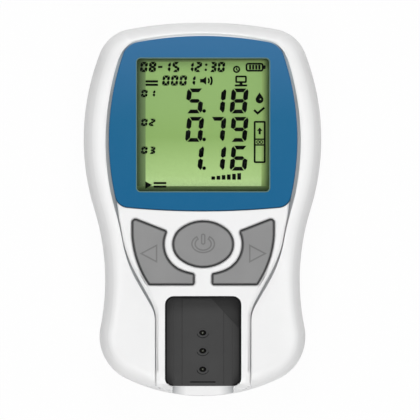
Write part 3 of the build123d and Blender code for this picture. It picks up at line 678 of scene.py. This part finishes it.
def dress_nodes():
    """Give each CAD node that stays in view its finish."""
    for finish, names in NODES_IN_FINISH.items():
        for name in names.split():
            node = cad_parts[name]
            if not node.material_slots:
                node.data.materials.append(MATERIALS[finish])
            for place in node.material_slots:
                place.material = MATERIALS[finish]


# Mesh making

def linked(name, data):
    """New object in the scene."""
    made = bpy.data.objects.new(name, data)
    bpy.context.scene.collection.objects.link(made)
    return made


def new_piece(name, build, finish, body="case", smooth=False):
    """Object from a finished mesh build, riding on its body."""
    mesh = bpy.data.meshes.new(name)
    bmesh.ops.recalc_face_normals(build, faces=build.faces)
    build.to_mesh(mesh)
    build.free()
    if smooth:
        mesh.polygons.foreach_set("use_smooth", [True] * len(mesh.polygons))
    piece = linked(name, mesh)
    mesh.materials.append(MATERIALS[finish])
    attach(piece, body)
    return piece


def trim(name, finish, slot, add, *shape, body="case"):
    """New piece of one shape, which one of the add functions makes."""
    build = bmesh.new()
    add(build, *shape)
    new_piece(name, build, finish, body)


def grown(value, start, end):
    """Share of the way from start to end, from 0 to 1."""
    return min(1, max(0, (value - start) / (end - start)))


def vert_loops(edges):
    """Closed loops of vertices along edges, each turning left."""
    near = {}
    for edge in edges:
        for vert in edge.verts:
            near.setdefault(vert, []).append(edge.other_vert(vert))
    loops = []
    while near:
        loop = [next(iter(near))]
        while loop[-1] in near:
            onward = near.pop(loop[-1])
            loop += [vert for vert in onward if vert in near][:1]
        area = sum(a.co.x * b.co.y - b.co.x * a.co.y for a, b in zip(loop, loop[1:] + loop[:1]))
        loops.append(loop if area > 0 else loop[::-1])
    return loops


def merged_build(node):
    """Mesh build of a CAD node, with its doubled vertices merged."""
    build = bmesh.new()
    build.from_mesh(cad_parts[node].data)
    bmesh.ops.remove_doubles(build, verts=build.verts, dist=MERGE_GAP * MM)
    return build


def edge_loop(node, height, sharp):
    """Outline of a CAD node at one level, where its faces meet at more than the angle sharp."""
    build = merged_build(node)
    edges = []
    for edge in build.edges:
        level = all(abs(vert.co.z - height * MM) < LEVEL_GAP * MM for vert in edge.verts)
        if level and edge.calc_face_angle() > math.radians(sharp):
            edges.append(edge)
    longest = max(vert_loops(edges), key=len)
    loop = [(vert.co.x / MM, vert.co.y / MM) for vert in longest]
    build.free()
    return loop


def smooth_copy(node, name, finish, shape=None):
    """Copy of a CAD node whose rounded edges are shaded smooth, shown in its place."""
    build = merged_build(node)
    if shape:
        shape(build)
    for face in build.faces:
        face.smooth = True
    for edge in build.edges:
        edge.smooth = len(edge.link_faces) == 2 and edge.calc_face_angle() < math.radians(SMOOTH_ANGLE)
    piece = new_piece(name, build, finish)
    for extra in ("custom_normal", "sharp_face"):
        if extra in piece.data.attributes:
            piece.data.attributes.remove(piece.data.attributes[extra])
    even = piece.modifiers.new("even_normals", "WEIGHTED_NORMAL")
    even.keep_sharp = True
    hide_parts(node)
    return piece


def surface_tree(piece):
    """Search tree over a piece's surface."""
    mesh = piece.data
    places = [vert.co for vert in mesh.vertices]
    return BVHTree.FromPolygons(places, [face.vertices for face in mesh.polygons])


def heights_on(piece, points):
    """Height of a piece's upper side at plan points."""
    tree = surface_tree(piece)
    heights = []
    for x, y in points:
        hit = tree.ray_cast(Vector((x, y, 2 * FASCIA_FACE)) * MM, Vector((0, 0, -1)))[0]
        heights.append(hit.z / MM)
    return heights


def new_row(build, points, level):
    """New vertices at plan points, all at one level."""
    return [build.verts.new((x * MM, y * MM, level * MM)) for x, y in points]


def join_rows(build, first, second, slot=0):
    """Closed wall of faces between two rows of vertices."""
    for i in range(len(first)):
        j = (i + 1) % len(first)
        build.faces.new((first[i], first[j], second[j], second[i])).material_index = slot


def add_prism(build, loop, low, high):
    """Upright solid over a plan outline given as (x, y) points."""
    under = new_row(build, loop, low)
    over = new_row(build, loop, high)
    build.faces.new(under)
    build.faces.new(over)
    join_rows(build, under, over)


def add_band(build, outer, inner, low, high):
    """Upright solid between two plan outlines with as many points."""
    rows = [new_row(build, loop, level) for loop in (outer, inner) for level in (low, high)]
    for first, second in ((0, 1), (1, 3), (3, 2), (2, 0)):
        join_rows(build, rows[first], rows[second])


def add_rail(build, left, right, lows, highs):
    """Solid strip between two lines, with a lower and an upper level for each pair of points."""
    rows = []
    for (lx, ly), (rx, ry), low, high in zip(left, right, lows, highs):
        corners = ((lx, ly, low), (lx, ly, high), (rx, ry, high), (rx, ry, low))
        rows.append([build.verts.new(Vector(corner) * MM) for corner in corners])
    for first, second in zip(rows, rows[1:]):
        join_rows(build, first, second)
    build.faces.new(rows[0])
    build.faces.new(rows[-1])


def add_turned(build, middle, profile, count=RING_POINTS):
    """Rows of vertices turned round an upright axis from (radius, level) points, and joined."""
    rows = [new_row(build, ring(middle, radius, count), level) for radius, level in profile]
    for first, second in zip(rows, rows[1:]):
        join_rows(build, first, second)
    return rows


def add_tip(build, middle, row, level):
    """Close a row of vertices with a cone up or down to its middle."""
    tip = new_row(build, [middle], level)[0]
    for i in range(len(row)):
        build.faces.new((row[i], row[(i + 1) % len(row)], tip))


def offset_line(points, distance, closed=True):
    """Line beside another, at an even distance to its left, with mitred corners."""
    count = len(points)
    moved = []
    for i, point in enumerate(points):
        before = points[i - 1] if closed or i else None
        after = points[(i + 1) % count] if closed or i < count - 1 else None
        sides = []
        for a, b in ((before, point), (point, after)):
            if a is not None and b is not None:
                run = Vector((b[0] - a[0], b[1] - a[1])).normalized()
                sides.append(Vector((-run.y, run.x)))
        mean = sum(sides, Vector((0, 0))).normalized()
        reach = distance / max(MITRE_LIMIT, mean.dot(sides[0]))
        moved.append((point[0] + mean.x * reach, point[1] + mean.y * reach))
    return moved


def stroke(points, width, closed=False):
    """Outline of a line of even width along plan points, or the two outlines of a closed line."""
    left = offset_line(points, width / 2, closed)
    right = offset_line(points, -width / 2, closed)
    return (left, right) if closed else left + right[::-1]


def arc(middle, radii, start, end, count=ARC_STEPS):
    """Points along an arc, with angles in degrees and one or two radii."""
    across, along = (radii, radii) if isinstance(radii, (int, float)) else radii
    points = []
    for i in range(count + 1):
        turn = math.radians(start + (end - start) * i / count)
        points.append((middle[0] + across * math.cos(turn), middle[1] + along * math.sin(turn)))
    return points


def ring(middle, radii, count=RING_POINTS):
    """Points round a circle or an ellipse."""
    return arc(middle, radii, 0, 360 - 360 / count, count - 1)


def rounded_box(low, high, radius, count):
    """Outline of a box with round corners."""
    points = []
    for x, y, start in (
        (high[0] - radius, high[1] - radius, 0),
        (low[0] + radius, high[1] - radius, 90),
        (low[0] + radius, low[1] + radius, 180),
        (high[0] - radius, low[1] + radius, 270),
    ):
        points += arc((x, y), radius, start, start + 90, count)
    return points


def part_way(first, second, share):
    """Point a share of the way from one plan point to another."""
    return (first[0] + (second[0] - first[0]) * share, first[1] + (second[1] - first[1]) * share)


def bar(low, high, radius=0.15):
    """Outline of a small bar with round corners."""
    return rounded_box(low, high, radius, 2)


def ink(name, outlines, finish="lcd_ink", base=LCD_FACE, body="case"):
    """Thin printed or lit mark made of outlines, a pair of them where there is a hole."""
    build = bmesh.new()
    low = base + INK_GAP
    for outline in outlines:
        if isinstance(outline, tuple):
            add_band(build, *outline, low, low + INK_HIGH)
        else:
            add_prism(build, outline, low, low + INK_HIGH)
    new_piece(name, build, finish, body)


# Inset plate

def shape_fascia(build):
    """Flatten the fascia's outer roll beside the keys and the bay, and round its key holes."""
    lowest = FASCIA_FACE - FASCIA_UNDER - ROLL_EDGE
    for vert in build.verts:
        x, y, z = vert.co / MM
        drop = FASCIA_FACE - z
        if y >= EDGE_HEAD_Y or not ROLL_EDGE < drop < lowest:
            continue
        share = EDGE_DROP if y > EDGE_FOOT_Y else TAIL_DROP
        vert.co.z = (FASCIA_FACE - drop * share) * MM
        if share == EDGE_DROP and abs(x) > BAY_HALF_X + BAY_WALL:
            reach = EDGE_REACH + CORNER_REACH * grown(y, *CORNER_HEAD_YS) * grown(y, *CORNER_FOOT_YS)
            vert.co.x += math.copysign(reach * MM, x)
    round_key_holes(build)


def round_key_holes(build):
    """Round the upper edges of the three key holes, and fill the fascia's face again round them."""
    face_z = (FASCIA_FACE - LEVEL_GAP) * MM
    face = [each for each in build.faces if all(vert.co.z > face_z for vert in each.verts)]
    bmesh.ops.delete(build, geom=face, context="FACES_KEEP_BOUNDARY")
    outline = []
    for loop in vert_loops([edge for edge in build.edges if edge.is_boundary]):
        if all(KEY_FOOT_Y * MM < vert.co.y < KEY_HEAD_Y * MM for vert in loop):
            loop = round_hole(build, loop)
        outline += [build.edges.get(pair) for pair in zip(loop, loop[1:] + loop[:1])]
    bmesh.ops.triangle_fill(build, use_beauty=True, edges=outline, normal=(0, 0, 1))


def round_hole(build, loop):
    """Round one hole's upper edge in steps, and give back its new upper loop."""
    plan = [(vert.co.x / MM, vert.co.y / MM) for vert in loop]
    for vert in loop:
        vert.co.z = (FASCIA_FACE - HOLE_ROUND) * MM
    for step in range(1, HOLE_STEPS + 1):
        turn = math.radians(90 * step / HOLE_STEPS)
        level = FASCIA_FACE - HOLE_ROUND * (1 - math.sin(turn))
        points = offset_line(plan, -HOLE_ROUND * (1 - math.cos(turn)))
        upper = new_row(build, points, level)
        join_rows(build, loop, upper, HOLE_SLOT)
        loop = upper
    return loop


# Display digits and signs

SEGMENTS = {
    "0": "abcdef", "1": "bc", "2": "abged", "3": "abgcd", "5": "afgcd",
    "6": "afgedc", "7": "abc", "8": "abcdefg", "9": "abfgcd",
}


def segment_shapes(width, height, upright, level, gap):
    """Outline of each of the seven segments of a digit, before it is slanted."""
    middle, half = height / 2, level / 2
    left, right = upright + gap, width - upright - gap
    top = [
        (0.45 * upright + gap, height), (width - 0.45 * upright - gap, height),
        (right, height - level), (left, height - level),
    ]
    upper_left = [
        (0, height - 0.75 * level), (0.3 * upright, height - 0.15 * level), (upright, height - level - gap),
        (upright, middle + half + gap), (0.6 * upright, middle + gap), (0, middle + gap + 0.3 * upright),
    ]
    crossbar = [
        (0.6 * upright + gap, middle), (left, middle + half), (right, middle + half),
        (width - 0.6 * upright - gap, middle), (right, middle - half), (left, middle - half),
    ]

    def across(points):
        return [(width - x, y) for x, y in points]

    def down(points):
        return [(x, height - y) for x, y in points]

    return {
        "a": top, "b": across(upper_left), "c": down(across(upper_left)), "d": down(top),
        "e": down(upper_left), "f": upper_left, "g": crossbar,
    }


def digit_row(places, y, size):
    """Outlines of slanted seven-segment digits, from (left, digit) pairs and the row's foot."""
    shapes = segment_shapes(**size)
    return [
        [(x + px + py * SLANT, y + py) for px, py in shapes[letter]]
        for x, digit in places for letter in SEGMENTS[digit]
    ]


def evenly(text, left, pitch):
    """Places of evenly spaced digits."""
    return [(left + i * pitch, digit) for i, digit in enumerate(text)]


def big_digits():
    """The three readings, each with its point."""
    outlines = []
    for y, text in BIG_ROWS:
        outlines += digit_row(evenly(text, BIG_LEFT, BIG_PITCH), y, BIG_DIGIT)
        outlines.append(arc((POINT_X, y + POINT_RISE), POINT_R, 0, 340, 17))
    return outlines


def small_digits():
    """Date, time, count and row numbers."""
    outlines = digit_row(TIME_DIGITS, TIME_ROW_Y, SMALL_DIGIT) + [bar(*DATE_DASH, 0.1)]
    outlines += [ring((COLON_X + (y - COLON_FOOT) * SLANT, y), COLON_R) for y in COLON_YS]
    outlines += digit_row(COUNT_DIGITS, COUNT_ROW_Y, SMALL_DIGIT)
    for x, y, text in TAG_ROWS:
        outlines += digit_row(evenly(text, x, TAG_PITCH), y, TAG_DIGIT)
    return outlines


def drop_sign():
    """Drop with a small hole."""
    x, y = 19.15, 37.05
    outer = [(x, y + 2.35)] + arc((x, y), 1.33, 143, 397, 22)
    hole = Vector((x + 0.3, y + 0.1))
    return [(outer, [tuple(hole + (Vector(point) - hole).normalized() * 0.24) for point in outer])]


def strip_sign():
    """Test strip with two eyes and an arrow."""
    left, right = 17.5, 20.9
    middle = (left + right) / 2
    tip, barb, foot = 27.6, 26.45, 25.3
    half = [(0.95, barb), (0.36, barb), (0.36, foot)]
    arrow = half + [(-x, y) for x, y in half[::-1]] + [(0, tip)]
    return [
        stroke(rounded_box((left, 15.9), (right, 29.5), 0.2, 2), 0.62, closed=True),
        *[stroke([(left, y), (right, y)], 0.48) for y in (21.7, 23.65)],
        *[stroke(arc((middle + x, 22.68), 0.46, 0, 330, 11), 0.32, closed=True) for x in (-0.55, 0.55)],
        [(middle + x, y) for x, y in arrow],
    ]


MARKS = {
    "lcd_big_digits": big_digits(),
    "lcd_small_digits": small_digits(),
    "lcd_battery_sign": [
        stroke(rounded_box((14.75, 46.75), (20.2, 49.1), 0.6, 4), 0.6, closed=True),
        bar((20.35, 47.3), (21.2, 48.55), 0.2),
        *[bar((x, 47.15), (x + 0.72, 48.7), 0.1) for x in (15.6, 16.65, 17.7, 18.75)],
    ],
    "lcd_speaker_sign": [
        [(-0.9, 42.75), (0.1, 42.75), (1.15, 41.95), (1.15, 44.75), (0.1, 43.95), (-0.9, 43.95)],
        stroke(arc((0.75, 43.35), 1.35, -38, 38), 0.55),
        stroke(arc((0.75, 43.35), 2.3, -38, 38), 0.65),
    ],
    "lcd_computer_sign": [
        stroke(rounded_box((11.25, 42.9), (14.55, 44.8), 0.25, 3), 0.62, closed=True),
        [(12.3, 42.0), (13.5, 42.0), (13.3, 42.7), (12.5, 42.7)],
        bar((10.8, 41.45), (15.0, 42.1)),
    ],
    "lcd_drop_sign": drop_sign(),
    "lcd_strip_sign": strip_sign(),
    # Bars and ticks where the display has words
    "lcd_plain_marks": [
        *[bar((2.9 + i * 1.75, 10.0), (4.15 + i * 1.75, 11.1 + i * 0.22), 0.12) for i in range(6)],
        [(-19.4, 6.95), (-17.1, 8.2), (-19.4, 9.45)],
        *[bar((-16.6, y), (-12.3, y + 0.7)) for y in (7.3, 8.5)],
        *[bar((-19.3, y), (-15.1, y + 0.75)) for y in (41.6, 42.75)],
        stroke(arc((11.4, 47.2), 0.95, 0, 345, 22), 0.55, closed=True),
        stroke([(11.4, 47.75), (11.4, 47.1), (11.85, 46.85)], 0.4),
        stroke([(17.3, 33.5), (18.5, 32.4), (20.8, 34.3)], 0.75),
    ],
}


def lcd_edge_shadow():
    """Painted shadow: dark strips along the display's four edges, where the window's walls shade it."""
    reach = WINDOW_HALF + BORDER_LAP
    outer = rounded_box((-reach, WINDOW_MID_Y - reach), (reach, WINDOW_MID_Y + reach), BORDER_ROUND, 3)
    inner_low = (-WINDOW_HALF + BORDER_LEFT, WINDOW_MID_Y - WINDOW_HALF + BORDER_BOTTOM)
    inner_high = (WINDOW_HALF - BORDER_RIGHT, WINDOW_MID_Y + WINDOW_HALF - BORDER_TOP)
    inner = rounded_box(inner_low, inner_high, BORDER_ROUND, 3)
    # Sheet of painted shadow over the display's edges
    trim("lcd_edge_shadow", "lcd_shade", "lcd_green", add_band, outer, inner, *BORDER_LEVELS)


def panel_border():
    """Rolled edge of the panel's sheet, as a fine line of painted highlight and shade along its outline that
    is wider at its head.
    """
    loop = edge_loop("face_panel", PANEL_FACE, PANEL_SHARP)
    near = offset_line(loop, PANEL_BORDER)
    far = offset_line(loop, HEAD_BORDER)
    inner = [part_way(first, second, grown(first[1], *HEAD_YS)) for first, second in zip(near, far)]
    outer = offset_line(loop, BORDER_EDGE)
    # Border line of painted highlight and shade
    trim("panel_border", "panel_rim_light_shade", "panel_blue", add_band, outer, inner, *PANEL_BORDER_LEVELS)


def panel_ring(shell):
    """White lip of the rim round the panel's sides and head, and the groove floor in it, grey with painted
    shade.
    """
    loop = edge_loop("face_panel", PANEL_FACE, PANEL_SHARP)
    foot = min(range(len(loop)), key=lambda i: loop[i][1])
    line = [point for point in loop[foot:] + loop[:foot] if point[1] > RIM_LIP_YS[0]]
    low, high = GROOVE_FLOOR
    tree = surface_tree(shell)
    edge, past, floor = [], [], []
    for point in line:
        y = point[1]
        wall = tree.find_nearest(Vector((*point, high)) * MM)[0].xy / MM
        gap = (wall - Vector(point)).length
        wide = gap - RIM_LIP * grown(y, *RIM_LIP_YS)
        wide += (HEAD_RING - wide) * grown(y, *HEAD_YS)
        edge.append(part_way(point, wall, wide / gap))
        past.append(part_way(point, wall, (gap + LIP_OVERLAP) / gap))
        floor.append(low + (high - low) * grown(y, *GROOVE_YS))
    ledge = [low - GROOVE_THICK] * len(line)
    top = [height - LIP_SUNK for height in heights_on(shell, past)]
    trim("rim_lip", "case_white", "case_white", add_rail, edge, past, ledge, top)
    # Groove floor coloured with painted shade
    trim("panel_groove", "groove_shade", "case_white", add_rail, line, edge, ledge, floor)


def tail_seams():
    """Seam between the inset plate's two tails and the shell's foot."""
    for side, name in ((-1, "tail_seam_left"), (1, "tail_seam_right")):
        line = stroke([(side * x, y) for x, y in TAIL_LINE], TAIL_LINE_WIDE)
        trim(name, "tail_white", "case_white", add_prism, line, *TAIL_LINE_LEVELS)


# Keys

def power_legend():
    """Outlined power sign."""
    bow = arc(POWER_MID, POWER_RING_OUTER, 125, 415, 44) + arc(POWER_MID, POWER_RING_INNER, 410, 130, 40)
    stem = rounded_box(POWER_BAR[:2], POWER_BAR[2:], 0.5, 5)
    return [stroke(line, LEGEND_LINE, closed=True) for line in (bow, stem)]


def arrow_legend(side):
    """Outlined triangle that points away from the middle."""
    tip = (side * ARROW_TIP[0], ARROW_TIP[1])
    base = side * ARROW_BASE_X
    points = [tip, (base, tip[1] + ARROW_BASE_HALF), (base, tip[1] - ARROW_BASE_HALF)]
    return [stroke(points, LEGEND_LINE, closed=True)]


def key_details():
    """Dark rubber skirts in the gaps round the keys, which also serve as painted shade for the gaps, and
    legends, which move with their keys.
    """
    for node, outlines in (
        ("left_key", arrow_legend(-1)),
        ("power_key", power_legend()),
        ("right_key", arrow_legend(1)),
    ):
        loop = edge_loop(node, KEY_WALL_TOP, KEY_SHARP)
        outer, inner = [offset_line(loop, reach) for reach in SEAL_REACH]
        # Skirt of dark rubber, also painted shade in the gap
        trim(node + "_seal", "key_rubber", "key_grey", add_band, outer, inner, *SEAL_LEVELS, body=node)
        ink(node + "_legend", outlines, "legend_grey", KEY_FACE - LEGEND_SUNK, node)


# Test bay

def bay_loop(margin):
    """Outline of the bay from one side of its mouth to the other."""
    x = BAY_HALF_X - margin
    top = BAY_TOP_Y - margin
    foot = BAY_BOTTOM_Y + margin
    radius = BAY_ROUND - margin
    loop = arc((-x + radius, foot + radius), radius, 262, 180) + [(-x, TAIL_HEAD_Y)]
    loop += arc((-x + radius, top - radius), radius, 180, 90)
    loop += arc((x - radius, top - radius), radius, 90, 0) + [(x, TAIL_HEAD_Y)]
    return loop + arc((x - radius, foot + radius), radius, 0, -82)


def bay_liner(fascia):
    """Black lip of the reader block: a thin flange on the fascia over a wall inside its opening, whose black
    also serves as painted shade along the bay's edges.
    """
    build = bmesh.new()
    outer = bay_loop(-BAY_FLANGE)
    middle = bay_loop(WALL_GAP)
    inner = bay_loop(BAY_LINER)
    face = heights_on(fascia, outer)
    add_rail(build, outer, inner, face, [height + FLANGE_HIGH for height in face])
    foot = [BAY_LAND + LINER_GAP] * len(face)
    add_rail(build, middle, inner, foot, [height - WALL_SUNK for height in face])
    # Black lip that also gives painted shade along the bay's edges
    new_piece("bay_liner", build, "seal_black")


def bay_corner_shade():
    """Dark three-cornered patch of painted shade in the bay's upper right corner."""
    left, low = BAY_SHADE_CORNER
    right = BAY_HALF_X - BAY_LINER - LINER_GAP
    top = BAY_TOP_Y - BAY_LINER - LINER_GAP
    radius = BAY_ROUND - BAY_LINER
    corner = arc((right - radius, top - radius), radius, 0, 90)
    loop = [(right, low)] + corner + [(left, top)]
    # Painted shade, a dark sheet on the bay floor
    trim("bay_corner_shade", "pad_black", "block_black", add_prism, loop, *BAY_SHADE_LEVELS)


def lens_dome(name, middle):
    """Domed end of one lens rod."""
    build = bmesh.new()
    profile = arc((0, DOME_LEVEL), DOME_RADII, 90, 0)
    rows = add_turned(build, middle, profile[1:])
    add_tip(build, middle, rows[0], profile[0][1])
    add_tip(build, middle, rows[-1], DOME_FOOT)
    new_piece(name, build, "lens_clear", smooth=True)


def aperture_details():
    """Lens dome, matt black sleeve as painted shade in the hole, oval collar and a dark line of painted
    shadow under it, at each of the three apertures.
    """
    for i, y in enumerate(APERTURE_YS, 1):
        eye, around = (0, y), (0, y - COLLAR_SHIFT)
        lens_dome(f"lens_dome_{i}", eye)
        outer, inner = [ring(eye, radius) for radius in SLEEVE_RADII]
        # Black sleeve: painted shade inside the hole
        trim(f"sleeve_{i}", "seal_black", "block_black", add_band, outer, inner, *SLEEVE_LEVELS)
        outer, inner = ring(around, COLLAR_OUTER), ring(eye, EYE_OPENING)
        trim(f"collar_{i}", "block_black", "block_black", add_band, outer, inner, *COLLAR_LEVELS)
        # Painted shadow under the collar
        line = stroke(arc(around, COLLAR_SHADOW_RADII, 190, 350, 24), COLLAR_SHADOW_WIDE)
        trim(f"collar_shadow_line_{i}", "seal_black", "block_black", add_prism, line, *COLLAR_SHADOW_LEVELS)


# Screws

def screw_profile():
    """Radius and level along a case screw: domed head and thread."""
    profile = list(SCREW_HEAD)
    for i in range(THREAD_TURNS):
        base = THREAD_FOOT + i * THREAD_PITCH
        for radius, rise in ((THREAD_ROOT, 0), (THREAD_CREST, THREAD_FLANK), (THREAD_ROOT, 2 * THREAD_FLANK)):
            profile.append((radius, base + rise))
    return profile + [(THREAD_ROOT, THREAD_TOP)]


def cross(x, y):
    """Outline of the black cross that stands in for a screw's recess."""
    corners = [(RECESS_HALF, RECESS_HALF), (RECESS_HALF, RECESS_ARM), (-RECESS_HALF, RECESS_ARM)]
    loop = []
    for _ in range(4):
        loop += [(x + across, y + along) for across, along in corners]
        corners = [(-along, across) for across, along in corners]
    return loop


def detailed_screws():
    """Case screws with a domed head and a thread, and a flat black cross on each head as painted shade where
    a recess would be.
    """
    low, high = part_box("case_screws")
    y = (low.y + high.y) / 2 / MM
    build = bmesh.new()
    recess_shades = bmesh.new()
    for x in (low.x / MM + SCREW_HEAD_R, high.x / MM - SCREW_HEAD_R):
        rows = add_turned(build, (x, y), screw_profile(), SCREW_POINTS)
        build.faces.new(rows[0])
        add_tip(build, (x, y), rows[-1], high.z / MM)
        # Flat black cross: painted shade for a recess
        add_prism(recess_shades, cross(x, y), *RECESS_LEVELS)
    screws = new_piece("case_screws_dressed", build, "screw_steel")
    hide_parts("case_screws")
    new_piece("screw_recess_shade", recess_shades, "seal_black")


# Studio

def area_light(name, azimuth, elevation, watts):
    """Soft square lamp that faces the middle of the meter."""
    light = bpy.data.lights.new(name, "AREA")
    light.shape = "SQUARE"
    light.size = LAMP_SIZE
    light.energy = watts
    lamp = linked(name, light)
    turn, lift = math.radians(azimuth), math.radians(elevation)
    way = Vector((math.cos(lift) * math.cos(turn), math.cos(lift) * math.sin(turn), math.sin(lift)))
    lamp.location = way * LAMP_DISTANCE
    lamp.rotation_euler = way.to_track_quat("Z", "Y").to_euler()
    lamp.visible_camera = False


def world_light():
    """Even surround, white to the camera and softer on the meter, with a dim patch overhead."""
    world = bpy.data.worlds.new("studio")
    bpy.context.scene.world = world
    world.use_nodes = True
    made = Nodes(world.node_tree)
    back = made.tree.nodes["Background"]
    back.inputs["Color"].default_value = (1, 1, 1, 1)
    paths = made.node("ShaderNodeLightPath").outputs
    rays = [paths[name] for name in ("Is Camera Ray", "Is Glossy Ray", "Is Transmission Ray")]
    level = made.spread(made.combine("MAXIMUM", *rays), WORLD_LEVEL, 1, 0, 1)
    height = made.part_of(made.node("ShaderNodeTexCoord").outputs["Generated"], "Z")
    patch = made.spread(height, 1, PATCH_LEVEL, *PATCH_RISE)
    made.join(made.product(level, patch), back.inputs["Strength"])


def studio_floor():
    """White table that keeps a faint shadow."""
    build = bmesh.new()
    bmesh.ops.create_grid(build, x_segments=8, y_segments=8, size=FLOOR_HALF)
    mesh = bpy.data.meshes.new("studio_floor")
    build.to_mesh(mesh)
    build.free()
    floor = linked("studio_floor", mesh)
    floor.location = (0, 0, -FLOOR_GAP * MM)
    made = Finish("floor_white", 0.9, level=0.0)
    made.shader.inputs["Base Color"].default_value = (0.9, 0.9, 0.9, 1)
    seen = made.node("ShaderNodeLightPath").outputs["Is Camera Ray"]
    glow = made.node("ShaderNodeEmission").outputs["Emission"]
    made.show_instead(made.spread(seen, 0, FLOOR_GLOW, 0, 1), glow)
    mesh.materials.append(made.material)


def front_camera():
    """Long lens straight over the front, with the photograph's small sideways lean."""
    lean = math.atan((FRONT_MIDDLE_PIXEL[0] - RIM_MIDDLE_PIXEL_X) * MM_PER_PIXEL / (PANEL_FACE - RIM_HEIGHT))
    middle = PHOTO_PIXELS / 2
    aim = Vector((middle - RIM_MIDDLE_PIXEL_X, FRONT_MIDDLE_PIXEL[1] - middle, 0)) * MM_PER_PIXEL * MM
    aim.z = RIM_HEIGHT * MM
    back = Vector((-math.sin(lean), 0, math.cos(lean)))
    data = bpy.data.cameras.new("front_camera")
    data.sensor_width = 36.0
    data.lens = data.sensor_width * CAMERA_DISTANCE / (PHOTO_PIXELS * MM_PER_PIXEL * MM)
    camera = linked("front_camera", data)
    camera.location = aim + back * CAMERA_DISTANCE
    camera.rotation_euler = (0, -lean, 0)
    bpy.context.scene.camera = camera


dress_nodes()
shell = smooth_copy("front_cover", "front_shell", "case_white")
smooth_copy("rear_cover", "rear_shell", "case_white")
fascia = smooth_copy("centre_fascia", "fascia_plate", "fascia_white", shape_fascia)
fascia.data.materials.append(MATERIALS["hole_shade_white"])
lcd_edge_shadow()
for name, outlines in MARKS.items():
    ink(name, outlines)
panel_border()
panel_ring(shell)
tail_seams()
key_details()
bay_liner(fascia)
bay_corner_shade()
aperture_details()
detailed_screws()
front_camera()
world_light()
studio_floor()
for lamp in LAMPS:
    area_light(*lamp)
bpy.context.scene.view_settings.view_transform = "Standard"
